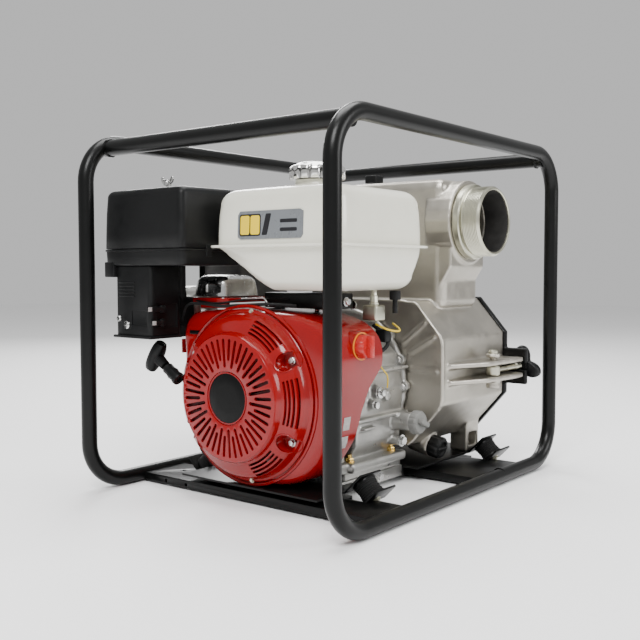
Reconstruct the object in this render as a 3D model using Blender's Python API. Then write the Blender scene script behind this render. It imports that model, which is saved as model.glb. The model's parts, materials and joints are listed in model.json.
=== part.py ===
"""Petrol-engine trash pump in a tubular carrying frame.

Units are metres, +Z is up. The origin is on the floor under the middle of the frame. +X runs along
the shaft from the recoil starter to the pump's clean-out cover, and +Y is the engine's cylinder side.
"""

from math import cos, pi, radians, sin, sqrt

import bmesh
import bpy
from mathutils import Matrix, Vector

# ---------------------------------------------------------------- driving dimensions
GAP = 0.0004  # between pieces that rest on each other

# Frame: two hoops of round tube joined by two top tubes
TUBE_R = 0.0125
HOOP_HALF_X = 0.3115
HOOP_Y = 0.2385
HOOP_TOP = 0.5425
BEND_R = 0.065
CROSS_X = 0.273
CROSS_Z = 0.533

# Base channels, engine cradles and rubber isolators
SHEET = 0.003
BASE_TOP = 0.0155
CRADLE_TOP = 0.0265
MOUNT_X = (-0.126, 0.234)
MOUNT_Y, MOUNT_Z = 0.161, 0.028
MOUNT_HALF, MOUNT_R = 0.014, 0.019
TAB_HALF = 0.025
RAIL_TOP = 0.0277

# Shaft line
SHAFT_Y, SHAFT_Z = 0.004, 0.160
SHAFT_R = 0.0125

# Engine
CASE_FRONT, CASE_REAR = -0.0895, 0.0297
CASE_FLANGE_TOP = 0.040
CYLINDER_TILT = radians(25)
BORE_R = 0.044
STROKE = 0.064
COVER_DISC_R = 0.122
HOUSING_FRONT, HOUSING_REAR = -0.205, -0.092
RECOIL_FACE = -0.249
RECOIL_R = 0.128
REEL_R = 0.044
ROPE_RADIUS = 0.048  # of the rope's line about the reel's centre
ROPE_ANGLE = radians(32.5)
ROPE_X = -0.234

# Fuel tank
TANK_LO, TANK_HI = (-0.227, -0.182), (-0.018, 0.046)
TANK_SEAM_Z = 0.379
TANK_BOTTOM = 0.315
FUEL_CAP_AT = (-0.128, -0.067)
FUEL_CAP_R = 0.0425

# Air cleaner and the carburettor's cover under it
CLEANER_LO, CLEANER_HI = (-0.2805, 0.0605), (-0.153, 0.239)
CLEANER_SPLIT = 0.3765
COVER_LO, COVER_HI = (-0.275, 0.136, 0.2405), (-0.214, 0.217, 0.345)
WING_NUT_AT = (-0.225, 0.152, 0.4749)
SWITCH_AT = (-0.145, -0.1604, 0.237)
OIL_CAP_AT = (0.014, -0.1464, 0.106)

# Pump
DRUM_REAR, DRUM_FRONT = 0.042, 0.250
COVER_THICK = 0.012
CHAMBER_LO, CHAMBER_HI = (0.0925, -0.150, 0.280), (0.215, 0.095, 0.494)
PORT_R, PORT_BORE_R = 0.05715, 0.051
DISCHARGE_X, DISCHARGE_Z, DISCHARGE_MOUTH = 0.150, 0.424, -0.214
SUCTION_Y, SUCTION_Z, SUCTION_MOUTH = 0.026, 0.415, 0.285
BOSS_FACE_Y = -0.168
PIN_X, PIN_Y, PIN_Z = 0.165, 0.205, 0.178
EAR_RADIUS = 0.0965  # crown of the cover's ear about the pin, just inside the knob's seat
KNOB_SEAT = 0.0975

STEPS = 24


# ---------------------------------------------------------------- scene and shape helpers
def clear_scene():
    for thing in list(bpy.data.objects):
        bpy.data.objects.remove(thing, do_unlink=True)


def material(name, colour, roughness, metallic=0.0):
    made = bpy.data.materials.new(name)
    made.use_nodes = True
    shader = made.node_tree.nodes["Principled BSDF"]
    shader.inputs["Base Color"].default_value = (*colour, 1.0)
    shader.inputs["Roughness"].default_value = roughness
    shader.inputs["Metallic"].default_value = metallic
    made.diffuse_color = (*colour, 1.0)
    return made


def put(name, bm, finish, origin=(0.0, 0.0, 0.0)):
    """One object from a bmesh in world coordinates, with its origin moved to a joint's axis."""
    bmesh.ops.remove_doubles(bm, verts=bm.verts, dist=1e-6)
    bmesh.ops.recalc_face_normals(bm, faces=bm.faces)
    bmesh.ops.translate(bm, verts=bm.verts, vec=-Vector(origin))
    mesh = bpy.data.meshes.new(name)
    bm.to_mesh(mesh)
    bm.free()
    mesh.materials.append(finish)
    mesh.shade_smooth()
    mesh.set_sharp_from_angle(angle=radians(35))
    thing = bpy.data.objects.new(name, mesh)
    thing.location = origin
    bpy.context.collection.objects.link(thing)
    return thing


def combine(thing, bm, operation, finish):
    """Add or cut a helper shape, which stays as a wire guide."""
    helper = put(thing.name + "_guide", bm, finish)
    helper.hide_render = True
    helper.display_type = "WIRE"
    step = thing.modifiers.new(operation.lower(), "BOOLEAN")
    step.operation = operation
    step.solver = "EXACT"
    step.object = helper
    return thing


def build(name, shapes, finish, cuts=(), origin=(0.0, 0.0, 0.0)):
    """A node from its first shape, the shapes fused to it and the shapes cut from it."""
    thing = put(name, shapes[0], finish, origin)
    for bm in shapes[1:]:
        combine(thing, bm, "UNION", finish)
    for bm in cuts:
        combine(thing, bm, "DIFFERENCE", finish)
    return thing


def box(lo, hi, bevel=0.0, turn=None):
    bm = bmesh.new()
    bmesh.ops.create_cube(bm, size=1.0)
    lo, hi = Vector(lo), Vector(hi)
    bmesh.ops.scale(bm, verts=bm.verts, vec=hi - lo)
    if bevel:
        bmesh.ops.bevel(bm, geom=bm.edges[:], offset=bevel, segments=2, affect="EDGES", profile=0.5)
    if turn is not None:
        bmesh.ops.transform(bm, verts=bm.verts, matrix=turn)
    bmesh.ops.translate(bm, verts=bm.verts, vec=(lo + hi) / 2)
    return bm


PLACE = {
    "X": lambda a, b, h: Vector((h, a, b)),
    "Y": lambda a, b, h: Vector((a, h, b)),
    "Z": lambda a, b, h: Vector((a, b, h)),
}


def prism(outline, axis, low, high, bevel=0.0):
    """An outline in the two other axes, in X, Y, Z order, pulled along one axis."""
    bm = bmesh.new()
    floor = [bm.verts.new(PLACE[axis](a, b, low)) for a, b in outline]
    roof = [bm.verts.new(PLACE[axis](a, b, high)) for a, b in outline]
    bm.faces.new(floor)
    bm.faces.new(roof)
    count = len(outline)
    for i in range(count):
        j = (i + 1) % count
        bm.faces.new((floor[i], floor[j], roof[j], roof[i]))
    if bevel:
        rims = [e for e in bm.edges if (e.verts[0] in roof) == (e.verts[1] in roof)]
        bmesh.ops.bevel(bm, geom=rims, offset=bevel, segments=2, affect="EDGES", profile=0.5)
    return bm


def turned(profile, at, along, steps=STEPS, ring=False):
    """Turn (radius, height) points about the line through at along a direction."""
    bm = bmesh.new()
    along = Vector(along).normalized()
    across = along.orthogonal().normalized()
    third = along.cross(across)
    at = Vector(at)
    rows = []
    for radius, height in profile:
        middle = at + along * height
        if radius < 1e-7:
            rows.append([bm.verts.new(middle)])
            continue
        row = []
        for k in range(steps):
            angle = 2 * pi * k / steps
            row.append(bm.verts.new(middle + (across * cos(angle) + third * sin(angle)) * radius))
        rows.append(row)
    pairs = list(zip(rows, rows[1:]))
    if ring:
        pairs.append((rows[-1], rows[0]))
    for first, second in pairs:
        for k in range(steps):
            n = (k + 1) % steps
            if len(first) == 1 and len(second) == 1:
                continue
            if len(first) == 1:
                bm.faces.new((first[0], second[k], second[n]))
            elif len(second) == 1:
                bm.faces.new((first[k], first[n], second[0]))
            else:
                bm.faces.new((first[k], first[n], second[n], second[k]))
    return bm


def rod(start, end, radius, steps=STEPS):
    start, end = Vector(start), Vector(end)
    length = (end - start).length
    return turned([(0, 0), (radius, 0), (radius, length), (0, length)], start, end - start, steps)


def washer(at, along, inner, outer, thick, steps=STEPS):
    profile = [(inner, 0), (outer, 0), (outer, thick), (inner, thick)]
    return turned(profile, at, along, steps, ring=True)


def round_outline(lo, hi, radius, steps=3):
    """A rectangle with round corners, anticlockwise."""
    corners = (
        (hi[0] - radius, hi[1] - radius, 0),
        (lo[0] + radius, hi[1] - radius, 90),
        (lo[0] + radius, lo[1] + radius, 180),
        (hi[0] - radius, lo[1] + radius, 270),
    )
    points = []
    for cx, cy, start in corners:
        for k in range(steps + 1):
            angle = radians(start + 90 * k / steps)
            points.append((cx + radius * cos(angle), cy + radius * sin(angle)))
    return points


def loft(levels, lo, hi, radius, steps=3):
    """Rounded rectangles stacked up: levels holds (height, inset from the full outline)."""
    bm = bmesh.new()
    rows = []
    for height, inset in levels:
        low = (lo[0] + inset, lo[1] + inset)
        high = (hi[0] - inset, hi[1] - inset)
        corner = max(radius - 0.3 * inset, 0.008)
        rows.append([bm.verts.new((x, y, height)) for x, y in round_outline(low, high, corner, steps)])
    count = len(rows[0])
    for first, second in zip(rows, rows[1:]):
        for i in range(count):
            j = (i + 1) % count
            bm.faces.new((first[i], first[j], second[j], second[i]))
    bm.faces.new(rows[0])
    bm.faces.new(rows[-1])
    return bm


def shaft_point(x):
    return (x, SHAFT_Y, SHAFT_Z)


# ---------------------------------------------------------------- finishes
clear_scene()
BLACK_PAINT = material("frame_black", (0.012, 0.013, 0.013), 0.38)
RED = material("engine_red", (0.47, 0.012, 0.010), 0.22)
CREAM = material("tank_cream", (0.76, 0.76, 0.68), 0.25)
CASTING = material("cast_aluminium", (0.52, 0.48, 0.42), 0.5, 0.75)
ZINC = material("zinc_plate", (0.55, 0.54, 0.44), 0.3, 0.95)
STEEL = material("bright_steel", (0.60, 0.60, 0.60), 0.28, 1.0)
CHROME = material("chrome", (0.75, 0.74, 0.72), 0.12, 1.0)
BLACK_PLASTIC = material("black_plastic", (0.016, 0.017, 0.017), 0.55)
RUBBER = material("rubber", (0.014, 0.014, 0.014), 0.8)
GREY_PLASTIC = material("grey_plastic", (0.22, 0.22, 0.21), 0.6)
IRON = material("cast_iron", (0.10, 0.10, 0.11), 0.6, 0.8)
FOAM = material("filter_foam", (0.10, 0.09, 0.06), 0.95)


# ---------------------------------------------------------------- carrying frame
def hoop_path():
    """Centre line of one hoop in X and Z, with the outward angle at each point."""
    reach, top, low = HOOP_HALF_X - BEND_R, HOOP_TOP - BEND_R, TUBE_R + BEND_R
    corners = ((reach, top, 0), (-reach, top, 90), (-reach, low, 180), (reach, low, 270))
    points = []
    for cx, cz, start in corners:
        for k in range(6):
            angle = radians(start + 18 * k)
            points.append((cx + BEND_R * cos(angle), cz + BEND_R * sin(angle), angle))
    return points


def hoop(y, radius, sides=10):
    """The bent tube as one closed ring of round sections."""
    bm = bmesh.new()
    rows = []
    for x, z, outward in hoop_path():
        out = Vector((cos(outward), sin(outward)))
        row = []
        for k in range(sides):
            angle = 2 * pi * k / sides
            off = radius * cos(angle)
            row.append(bm.verts.new((x + out.x * off, y + radius * sin(angle), z + out.y * off)))
        rows.append(row)
    for first, second in zip(rows, rows[1:] + rows[:1]):
        for k in range(sides):
            n = (k + 1) % sides
            bm.faces.new((first[k], first[n], second[n], second[k]))
    return bm


def frame():
    for name, side in (("hoop_near", -1), ("hoop_far", 1)):
        put(name, hoop(side * HOOP_Y, TUBE_R), BLACK_PAINT)
    for name, side in (("crossbar_front", -1), ("crossbar_rear", 1)):
        x = side * CROSS_X
        bar = rod((x, -HOOP_Y, CROSS_Z), (x, HOOP_Y, CROSS_Z), TUBE_R, 12)
        coped = [hoop(s * HOOP_Y, TUBE_R + GAP) for s in (-1, 1)]
        build(name, [bar], BLACK_PAINT, coped)


def wing_line(distance):
    """Where a plane square to the isolator, this far from its centre, crosses: y minus z is fixed."""
    return MOUNT_Y - MOUNT_Z + distance * sqrt(2)


def wing(x, side, line, low, high):
    """A plate bent up at 45 degrees from a flat one, square to an isolator's axis."""
    step = SHEET / sqrt(2)
    outline = [
        (side * (low + line), low),
        (side * (high + line), high),
        (side * (high + line - step), high + step),
        (side * (low + line - step), low + step),
    ]
    return prism(outline, "X", x - TAB_HALF, x + TAB_HALF)


def base():
    """Two channels across the lower tubes, each with two wings that carry the isolators."""
    line = wing_line(MOUNT_HALF + SHEET + GAP)
    under = BASE_TOP - SHEET
    for name, low, high, x in (
        ("base_channel_front", -0.212, -0.1282, MOUNT_X[0]),
        ("base_channel_rear", 0.078, 0.226, MOUNT_X[1]),
    ):
        parts = [box((low, -HOOP_Y, under), (high, HOOP_Y, BASE_TOP))]
        for edge in (low, high - SHEET):
            reach = HOOP_Y - 0.004
            parts.append(box((edge, -reach, SHEET), (edge + SHEET, reach, BASE_TOP)))
        cuts = []
        for side in (-1, 1):
            parts.append(wing(x, side, line, under + 0.0006, 0.033))
            ys = sorted((side * 0.132, side * 0.1687))
            cuts.append(box((x - MOUNT_R - 0.0015, ys[0], 0.0), (high + 0.002, ys[1], 0.040)))
        cuts += [hoop(side * HOOP_Y, TUBE_R + GAP) for side in (-1, 1)]
        if x < 0:
            for hole_y in (0.185, 0.166, 0.130):
                cuts.append(rod((-0.166, hole_y, 0.0), (-0.166, hole_y, 0.05), 0.0035, 10))
            for hole_y in (0.177, 0.131):
                cuts.append(rod((low - 0.01, hole_y, 0.008), (low + 0.01, hole_y, 0.008), 0.003, 10))
        build(name, parts, BLACK_PAINT, cuts)


def cradles():
    """Cross plates under the engine rails and the pump legs, winged up onto the isolators."""
    line = wing_line(-MOUNT_HALF - GAP)
    under = CRADLE_TOP - SHEET
    half = under + line - 0.0004
    for name, low, high, flange, x in (
        ("cradle_front", -0.215, -0.1246, -0.1276, MOUNT_X[0]),
        ("cradle_rear", 0.0445, 0.259, 0.0445, MOUNT_X[1]),
    ):
        parts = [box((low, -half, under), (high, half, CRADLE_TOP))]
        parts.append(box((flange, -0.105, 0.010), (flange + SHEET, 0.105, CRADLE_TOP)))
        for side in (-1, 1):
            if x + TAB_HALF > high:
                ys = sorted((side * 0.110, side * half))
                parts.append(box((x - 0.02, ys[0], under), (x + TAB_HALF, ys[1], CRADLE_TOP)))
            parts.append(wing(x, side, line, under, 0.0515))
        build(name, parts, BLACK_PAINT)


def isolators():
    """Rubber barrels with a steel plate at each end, leaning 45 degrees outwards and down."""
    half, plate, waist = MOUNT_HALF, 0.003, 0.0165
    profile = [
        (0, -half), (MOUNT_R, -half), (MOUNT_R, plate - half), (waist, plate - half), (0.0175, 0),
        (waist, half - plate), (MOUNT_R, half - plate), (MOUNT_R, half), (0, half),
    ]
    for row, x in zip(("front", "rear"), MOUNT_X):
        for name, side in (("near", -1), ("far", 1)):
            at = (x, side * MOUNT_Y, MOUNT_Z)
            put(f"isolator_{row}_{name}", turned(profile, at, (0, side, -1), 16), RUBBER)


# ---------------------------------------------------------------- engine
CASE_OUTLINE = [
    (-0.085, 0.036), (-0.110, 0.080), (-0.116, 0.160), (-0.104, 0.212), (-0.060, 0.252),
    (0.040, 0.262), (0.100, 0.250), (0.112, 0.160), (0.106, 0.080), (0.085, 0.036),
]
BORE_X = -0.030
UP_BORE = Vector((0, cos(CYLINDER_TILT), sin(CYLINDER_TILT)))


def inset(outline, amount, centre=(0.0, 0.150)):
    """An outline pulled towards its centre by about the same amount all round."""
    points = []
    for a, b in outline:
        away = Vector((a - centre[0], b - centre[1]))
        away *= (away.length - amount) / away.length
        points.append((centre[0] + away.x, centre[1] + away.y))
    return points


def along_bore(distance):
    return Vector((BORE_X, SHAFT_Y, SHAFT_Z)) + UP_BORE * distance


def bore_block(start, end, half_x, half_across, bevel=0.0):
    """A block square to the cylinder's axis, from one distance to another."""
    centre = along_bore((start + end) / 2)
    size = Vector((half_x, (end - start) / 2, half_across))
    turn = Matrix.Rotation(CYLINDER_TILT, 4, "X")
    return box(centre - size, centre + size, bevel, turn)


def engine_rails():
    for name, side in (("engine_rail_near", -1), ("engine_rail_far", 1)):
        ys = sorted((side * 0.105, side * 0.075))
        put(name, box((-0.1240, ys[0], 0.010), (0.0440 - GAP, ys[1], RAIL_TOP), 0.001), CASTING)


def crankcase():
    shell = prism(CASE_OUTLINE, "X", CASE_FRONT, CASE_REAR)
    flange = box((-0.112, -0.105, RAIL_TOP + GAP), (0.040, 0.105, CASE_FLANGE_TOP))
    barrel = bore_block(0.060, 0.150, 0.052, 0.054)
    fins = [bore_block(at, at + 0.003, 0.058, 0.064) for at in (0.118, 0.127, 0.136)]
    hollow = prism(inset(CASE_OUTLINE, 0.010), "X", CASE_FRONT + 0.008, CASE_REAR + 0.02)
    bore = rod(along_bore(0.04), along_bore(0.17), BORE_R + 0.0004)
    shaft_hole = rod(shaft_point(CASE_FRONT - 0.01), shaft_point(CASE_FRONT + 0.02), SHAFT_R + 0.001)
    filler_x, filler_y, filler_z = OIL_CAP_AT
    filler = rod((filler_x, -0.100, filler_z), (filler_x, filler_y + GAP, filler_z), 0.015, 20)
    build("crankcase", [shell, flange, barrel, *fins, filler], CASTING, [hollow, bore, shaft_hole])


def crankcase_cover():
    start = CASE_REAR + GAP
    profile = [
        (0, 0), (COVER_DISC_R - 0.006, 0), (COVER_DISC_R, 0.003), (COVER_DISC_R, 0.009),
        (0.095, 0.0115), (0, 0.0115),
    ]
    disc = turned(profile, shaft_point(start), (1, 0, 0), 32)
    hole = rod(shaft_point(0.02), shaft_point(0.06), SHAFT_R + 0.001)
    foot_clear = box((0.0, -0.2, 0.0), (0.06, 0.2, CASE_FLANGE_TOP + GAP))
    build("crankcase_cover", [disc], CASTING, [hole, foot_clear])


def cylinder_head():
    block = bore_block(0.1504, 0.176, 0.052, 0.054)
    fins = [bore_block(at, at + 0.003, 0.058, 0.064) for at in (0.154, 0.163)]
    build("cylinder_head", [block, *fins], CASTING)
    cover_centre = bore_block(0.1764, 0.198, 0.038, 0.048, 0.006)
    put("rocker_cover", cover_centre, CASTING)
    root = along_bore(0.1764) + Vector((-0.0455, 0, 0))
    cap = turned([(0, 0), (0.0068, 0), (0.0068, 0.030), (0.0055, 0.036), (0, 0.036)], root, UP_BORE, 14)
    put("spark_plug_cap", cap, BLACK_PLASTIC)


# One impeller vane as (radius, angle) points, in at the hub, out to the rim and back
VANE = ((0.016, 0.0), (0.045, 0.45), (0.075, 1.15), (0.075, 1.27), (0.045, 0.66), (0.016, 0.6))


def rotating_set():
    """Crankshaft, flywheel with its fan, and impeller, all on the shaft line."""
    origin = shaft_point(0.0)
    throw = STROKE / 2
    pin_z = SHAFT_Z - throw
    stub = rod(shaft_point(-0.203), shaft_point(-0.042), SHAFT_R, 18)
    tail = rod(shaft_point(-0.018), shaft_point(0.1085), SHAFT_R, 18)
    webs = [rod(shaft_point(x), shaft_point(x + 0.012), 0.042, 20) for x in (-0.052, -0.020)]
    pin = rod((-0.042, SHAFT_Y, pin_z + 0.004), (-0.018, SHAFT_Y, pin_z + 0.004), 0.0125, 14)
    build("crankshaft", [stub, *webs, pin, tail], STEEL, origin=origin)

    outline = []
    blades = 14
    for k in range(blades):
        for radius, shift in ((0.070, 0.0), (0.098, 0.05), (0.098, 0.11), (0.070, 0.16)):
            angle = 2 * pi * k / blades + shift
            outline.append((SHAFT_Y + radius * cos(angle), SHAFT_Z + radius * sin(angle)))
    fan = prism(outline, "X", -0.196, -0.165)
    wheel = turned([(0, 0), (0.100, 0), (0.100, 0.034), (0, 0.034)], shaft_point(-0.172), (1, 0, 0), 28)
    hole = rod(shaft_point(-0.21), shaft_point(-0.13), SHAFT_R + 0.0003, 20)
    build("flywheel", [wheel, fan], IRON, [hole], origin)

    profile = [(0, 0), (0.078, 0), (0.078, 0.006), (0.022, 0.010), (0.022, 0.0425), (0, 0.0425)]
    disc = turned(profile, shaft_point(0.067), (1, 0, 0), 28)
    vanes = []
    for k in range(3):
        points = []
        for radius, turn in VANE:
            angle = 2 * pi * k / 3 + turn
            points.append((SHAFT_Y + radius * cos(angle), SHAFT_Z + radius * sin(angle)))
        vanes.append(prism(points, "X", 0.070, 0.098))
    hole = rod(shaft_point(0.05), shaft_point(0.1089), SHAFT_R + 0.0003, 20)
    build("impeller", [disc, *vanes], IRON, [hole], origin)


def piston():
    profile = [(0, 0.030), (0.036, 0.030), (0.036, 0), (BORE_R, 0), (BORE_R, 0.046), (0, 0.046)]
    at = along_bore(0.068)
    put("piston", turned(profile, at, UP_BORE, 28), CASTING, tuple(at))


HOUSING_OUTLINE = [
    (0.1400, 0.150), (0.1450, 0.250), (0.1250, 0.280), (0.0400, 0.286), (-0.0600, 0.283),
    (-0.1000, 0.277), (-0.1300, 0.267), (-0.1500, 0.252), (-0.1600, 0.232), (-0.1600, 0.205),
    (-0.1480, 0.150), (-0.1380, 0.095),
    (-0.1120, 0.055), (-0.0700, 0.033), (-0.0200, 0.029), (0.0400, 0.034), (0.0950, 0.068), (0.1300, 0.110),
]


def fan_housing():
    shell = prism(HOUSING_OUTLINE, "X", HOUSING_FRONT, HOUSING_REAR, 0.010)
    x, y, z = SWITCH_AT
    switch_seat = rod((x, y + 0.030, z), (x, y + GAP, z), 0.0205, 20)
    inside = inset(HOUSING_OUTLINE, 0.006, (-0.005, 0.155))
    hollow = prism(inside, "X", HOUSING_FRONT + 0.003, HOUSING_REAR + 0.02)
    mouth = rod(shaft_point(-0.23), shaft_point(-0.19), 0.106)
    foot_clear = box((-0.116, -0.112, 0.0), (0.0, 0.112, CASE_FLANGE_TOP + 0.002))
    build("fan_housing", [shell, switch_seat], RED, [hollow, mouth, foot_clear])


def recoil():
    base_x = HOUSING_FRONT - GAP
    depth = base_x - RECOIL_FACE
    outer = [
        (0, 0), (RECOIL_R, 0), (RECOIL_R, 0.003), (0.122, 0.010), (0.114, 0.024), (0.095, depth - 0.003),
        (0.092, depth), (0, depth),
    ]
    inner = [
        (0, -0.01), (0.106, -0.01), (0.106, 0.002), (0.117, 0.009), (0.110, 0.023),
        (0.092, depth - 0.006), (0, depth - 0.006),
    ]
    rope_hole = rod(rope_point(0.070), rope_point(0.16), 0.0070, 10)
    shell = turned(outer, shaft_point(base_x), (-1, 0, 0), 32)
    hollow = turned(inner, shaft_point(base_x), (-1, 0, 0), 32)
    build("recoil_cover", [shell], RED, [hollow, rope_hole])
    drum = [
        (0, 0), (REEL_R, 0), (REEL_R, 0.003), (0.036, 0.004), (0.036, 0.012), (REEL_R, 0.013),
        (REEL_R, 0.016), (0, 0.016),
    ]
    reel_at = shaft_point(-0.2415)
    put("recoil_reel", turned(drum, reel_at, (1, 0, 0), 28), BLACK_PLASTIC, reel_at)
    profile = [(0, 0), (0.007, 0), (0.011, 0.004), (0.009, 0.022), (0, 0.022)]
    stem = turned(profile, rope_point(0.142), rope_way(), 12)
    middle = rope_point(0.169)
    size = Vector((0.012, 0.010, 0.025))
    bar = box(middle - size, middle + size, 0.005, Matrix.Rotation(ROPE_ANGLE, 4, "X"))
    build("starter_grip", [stem, bar], BLACK_PLASTIC, origin=tuple(rope_point(0.142)))


def rope_way():
    return Vector((0, cos(ROPE_ANGLE), sin(ROPE_ANGLE)))


def rope_point(distance):
    """A point on the rope's line, which passes the reel's centre at the rope's own radius."""
    foot = Vector((ROPE_X, SHAFT_Y, SHAFT_Z)) + Vector((0, sin(ROPE_ANGLE), -cos(ROPE_ANGLE))) * ROPE_RADIUS
    return foot + rope_way() * distance


def engine_controls():
    x, y, z = SWITCH_AT
    profile = [(0, 0), (0.017, 0), (0.018, 0.010), (0.014, 0.013), (0, 0.013)]
    knob = turned(profile, SWITCH_AT, (0, -1, 0), 20)
    rib = box((x - 0.004, y - 0.021, z - 0.016), (x + 0.004, y - 0.008, z + 0.016), 0.001)
    build("engine_switch", [knob, rib], RED, origin=SWITCH_AT)
    profile = [
        (0, 0), (0.017, 0), (0.019, 0.003), (0.019, 0.012), (0.014, 0.015), (0.010, 0.0236), (0, 0.0236),
    ]
    put("oil_filler_cap", turned(profile, OIL_CAP_AT, (0, -1, 0), 20), GREY_PLASTIC, OIL_CAP_AT)
    bracket = box((-0.198, 0.150, 0.214), (-0.150, 0.153, 0.236))
    arm = box((-0.153, 0.150, 0.214), (-0.150, 0.164, 0.236))
    build("control_bracket", [bracket, arm], RED)
    lever_at = (-0.160, -0.020, 0.2866)
    hub = rod(lever_at, (lever_at[0], lever_at[1], 0.2906), 0.008, 14)
    blade = box((-0.200, -0.024, 0.2866), (-0.160, -0.016, 0.2888))
    build("throttle_lever", [hub, blade], BLACK_PLASTIC, origin=lever_at)


def grown(point, amount):
    return tuple(value + amount for value in point)


def carburettor():
    """The carburettor behind its black cover, and the two levers on the cover's near side."""
    bore_y, bore_z = 0.178, 0.298
    body = rod((-0.2200, bore_y, bore_z), (-0.1000, bore_y, bore_z), 0.021, 18)
    bowl = rod((-0.160, bore_y, bore_z), (-0.160, bore_y, 0.254), 0.021, 18)
    elbow = rod((-0.118, 0.162, 0.266), (-0.118, bore_y, bore_z), 0.0105, 12)
    inlet = rod((-0.128, 0.162, 0.268), (-0.0885, 0.162, 0.268), 0.0105, 12)
    build("carburettor", [body, bowl, elbow, inlet], CASTING)
    shell = box(COVER_LO, COVER_HI, 0.004)
    room_lo, room_hi = grown(COVER_LO, 0.004), grown(COVER_HI, -0.004)
    hollow = box(room_lo, (COVER_HI[0] + 0.02, room_hi[1], room_hi[2]))
    lip = box(
        (COVER_LO[0] - 0.004, COVER_LO[1] - 0.003, COVER_LO[2]),
        (COVER_HI[0], COVER_HI[1] + 0.003, COVER_LO[2] + 0.004),
    )
    neck_hole = box((-0.265, 0.145, 0.33), (-0.221, 0.208, 0.36))
    build("carburettor_cover", [shell, lip], BLACK_PLASTIC, [hollow, neck_hole])
    for name, z, reach in (("choke_lever", 0.286, 0.032), ("fuel_lever", 0.265, 0.024)):
        x, y = -0.2546, COVER_LO[1] - GAP
        hub = rod((x, y, z), (x, y - 0.006, z), 0.006, 14)
        blade = box((x - reach, y - 0.006, z - 0.003), (x + 0.004, y - 0.003, z + 0.003))
        build(name, [hub, blade], BLACK_PLASTIC, origin=(x, y, z))


def air_cleaner():
    """A tray on the carburettor's cover, a crowned lid, the element inside and the wing nut on top."""
    lo, hi = CLEANER_LO, CLEANER_HI
    floor = 0.351
    tray = loft([(floor, 0.004), (CLEANER_SPLIT - GAP, 0.0)], lo, hi, 0.016)
    neck = box((-0.262, 0.148, COVER_HI[2] + GAP), (-0.224, 0.205, floor + 0.005))
    skirt_front = box((lo[0] + 0.001, 0.150, 0.3335), (COVER_LO[0] - 0.0006, hi[1] - 0.001, floor + 0.004))
    skirt_side = box((lo[0] + 0.001, COVER_HI[1] + 0.0006, 0.3335), (-0.215, hi[1] - 0.001, floor + 0.004))
    room = loft([(floor + 0.005, 0.010), (0.40, 0.006)], lo, hi, 0.014)
    duct = box((-0.256, 0.154, 0.33), (-0.230, 0.199, 0.37))
    build("air_cleaner_base", [tray, neck, skirt_front, skirt_side], BLACK_PLASTIC, [room, duct])
    crown = [
        (CLEANER_SPLIT, 0.0), (0.430, 0.002), (0.455, 0.006), (0.464, 0.014), (0.4705, 0.030),
        (0.4745, 0.048),
    ]
    inside = [(CLEANER_SPLIT - 0.01, 0.004), (0.430, 0.006), (0.455, 0.010), (0.463, 0.022), (0.467, 0.034)]
    stud_hole = rod((*WING_NUT_AT[:2], 0.45), (*WING_NUT_AT[:2], 0.49), 0.0035, 12)
    lid_room = loft(inside, lo, hi, 0.016)
    build("air_cleaner_lid", [loft(crown, lo, hi, 0.018)], BLACK_PLASTIC, [lid_room, stud_hole])
    element = loft([(floor + 0.0054, 0.0), (0.453, 0.0)], (-0.268, 0.085), (-0.182, 0.222), 0.02)
    core = loft([(0.35, 0.0), (0.445, 0.0)], (-0.254, 0.099), (-0.196, 0.208), 0.012)
    stud_way = rod((*WING_NUT_AT[:2], 0.44), (*WING_NUT_AT[:2], 0.47), 0.004, 12)
    build("filter_element", [element], FOAM, [core, stud_way])
    x, y, z = WING_NUT_AT
    hub = turned([(0, 0), (0.006, 0), (0.005, 0.009), (0, 0.009)], WING_NUT_AT, (0, 0, 1), 14)
    wings = box((x - 0.002, y - 0.014, z + 0.003), (x + 0.002, y + 0.014, z + 0.0135), 0.0015)
    build("wing_nut", [hub, wings], STEEL, origin=WING_NUT_AT)


def exhaust():
    can = box((-0.088, 0.128, 0.297), (0.035, 0.220, 0.372), 0.010)
    tail = rod((0.030, 0.175, 0.330), (0.052, 0.175, 0.330), 0.012, 16)
    pipe_way = rod((0.02, 0.175, 0.330), (0.07, 0.175, 0.330), 0.009, 16)
    build("muffler", [can, tail], IRON, [pipe_way])
    plate = box((-0.092, 0.1265, 0.3755), (0.038, 0.2235, 0.3775))
    side = box((-0.092, 0.2215, 0.300), (0.038, 0.2235, 0.3770))
    slots = [box((x, 0.20, 0.32), (x + 0.008, 0.24, 0.355)) for x in (-0.080, -0.056, -0.032, -0.008, 0.016)]
    build("muffler_guard", [plate, side], BLACK_PAINT, slots)


def top_shroud():
    """A red cover plate over the fan housing and the bright cooling shroud that stands on it."""
    plate = box((-0.195, 0.052, 0.2950), (-0.090, 0.130, 0.3020), 0.001)
    foot = box((-0.192, 0.056, 0.2866), (-0.188, 0.115, 0.2985))
    build("cover_plate", [plate, foot], RED)
    roof = box((-0.185, 0.066, 0.3024), (-0.100, 0.125, 0.338), 0.006)
    under = box((-0.181, 0.070, 0.290), (-0.104, 0.121, 0.334))
    build("top_shroud", [roof], STEEL, [under])


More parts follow.
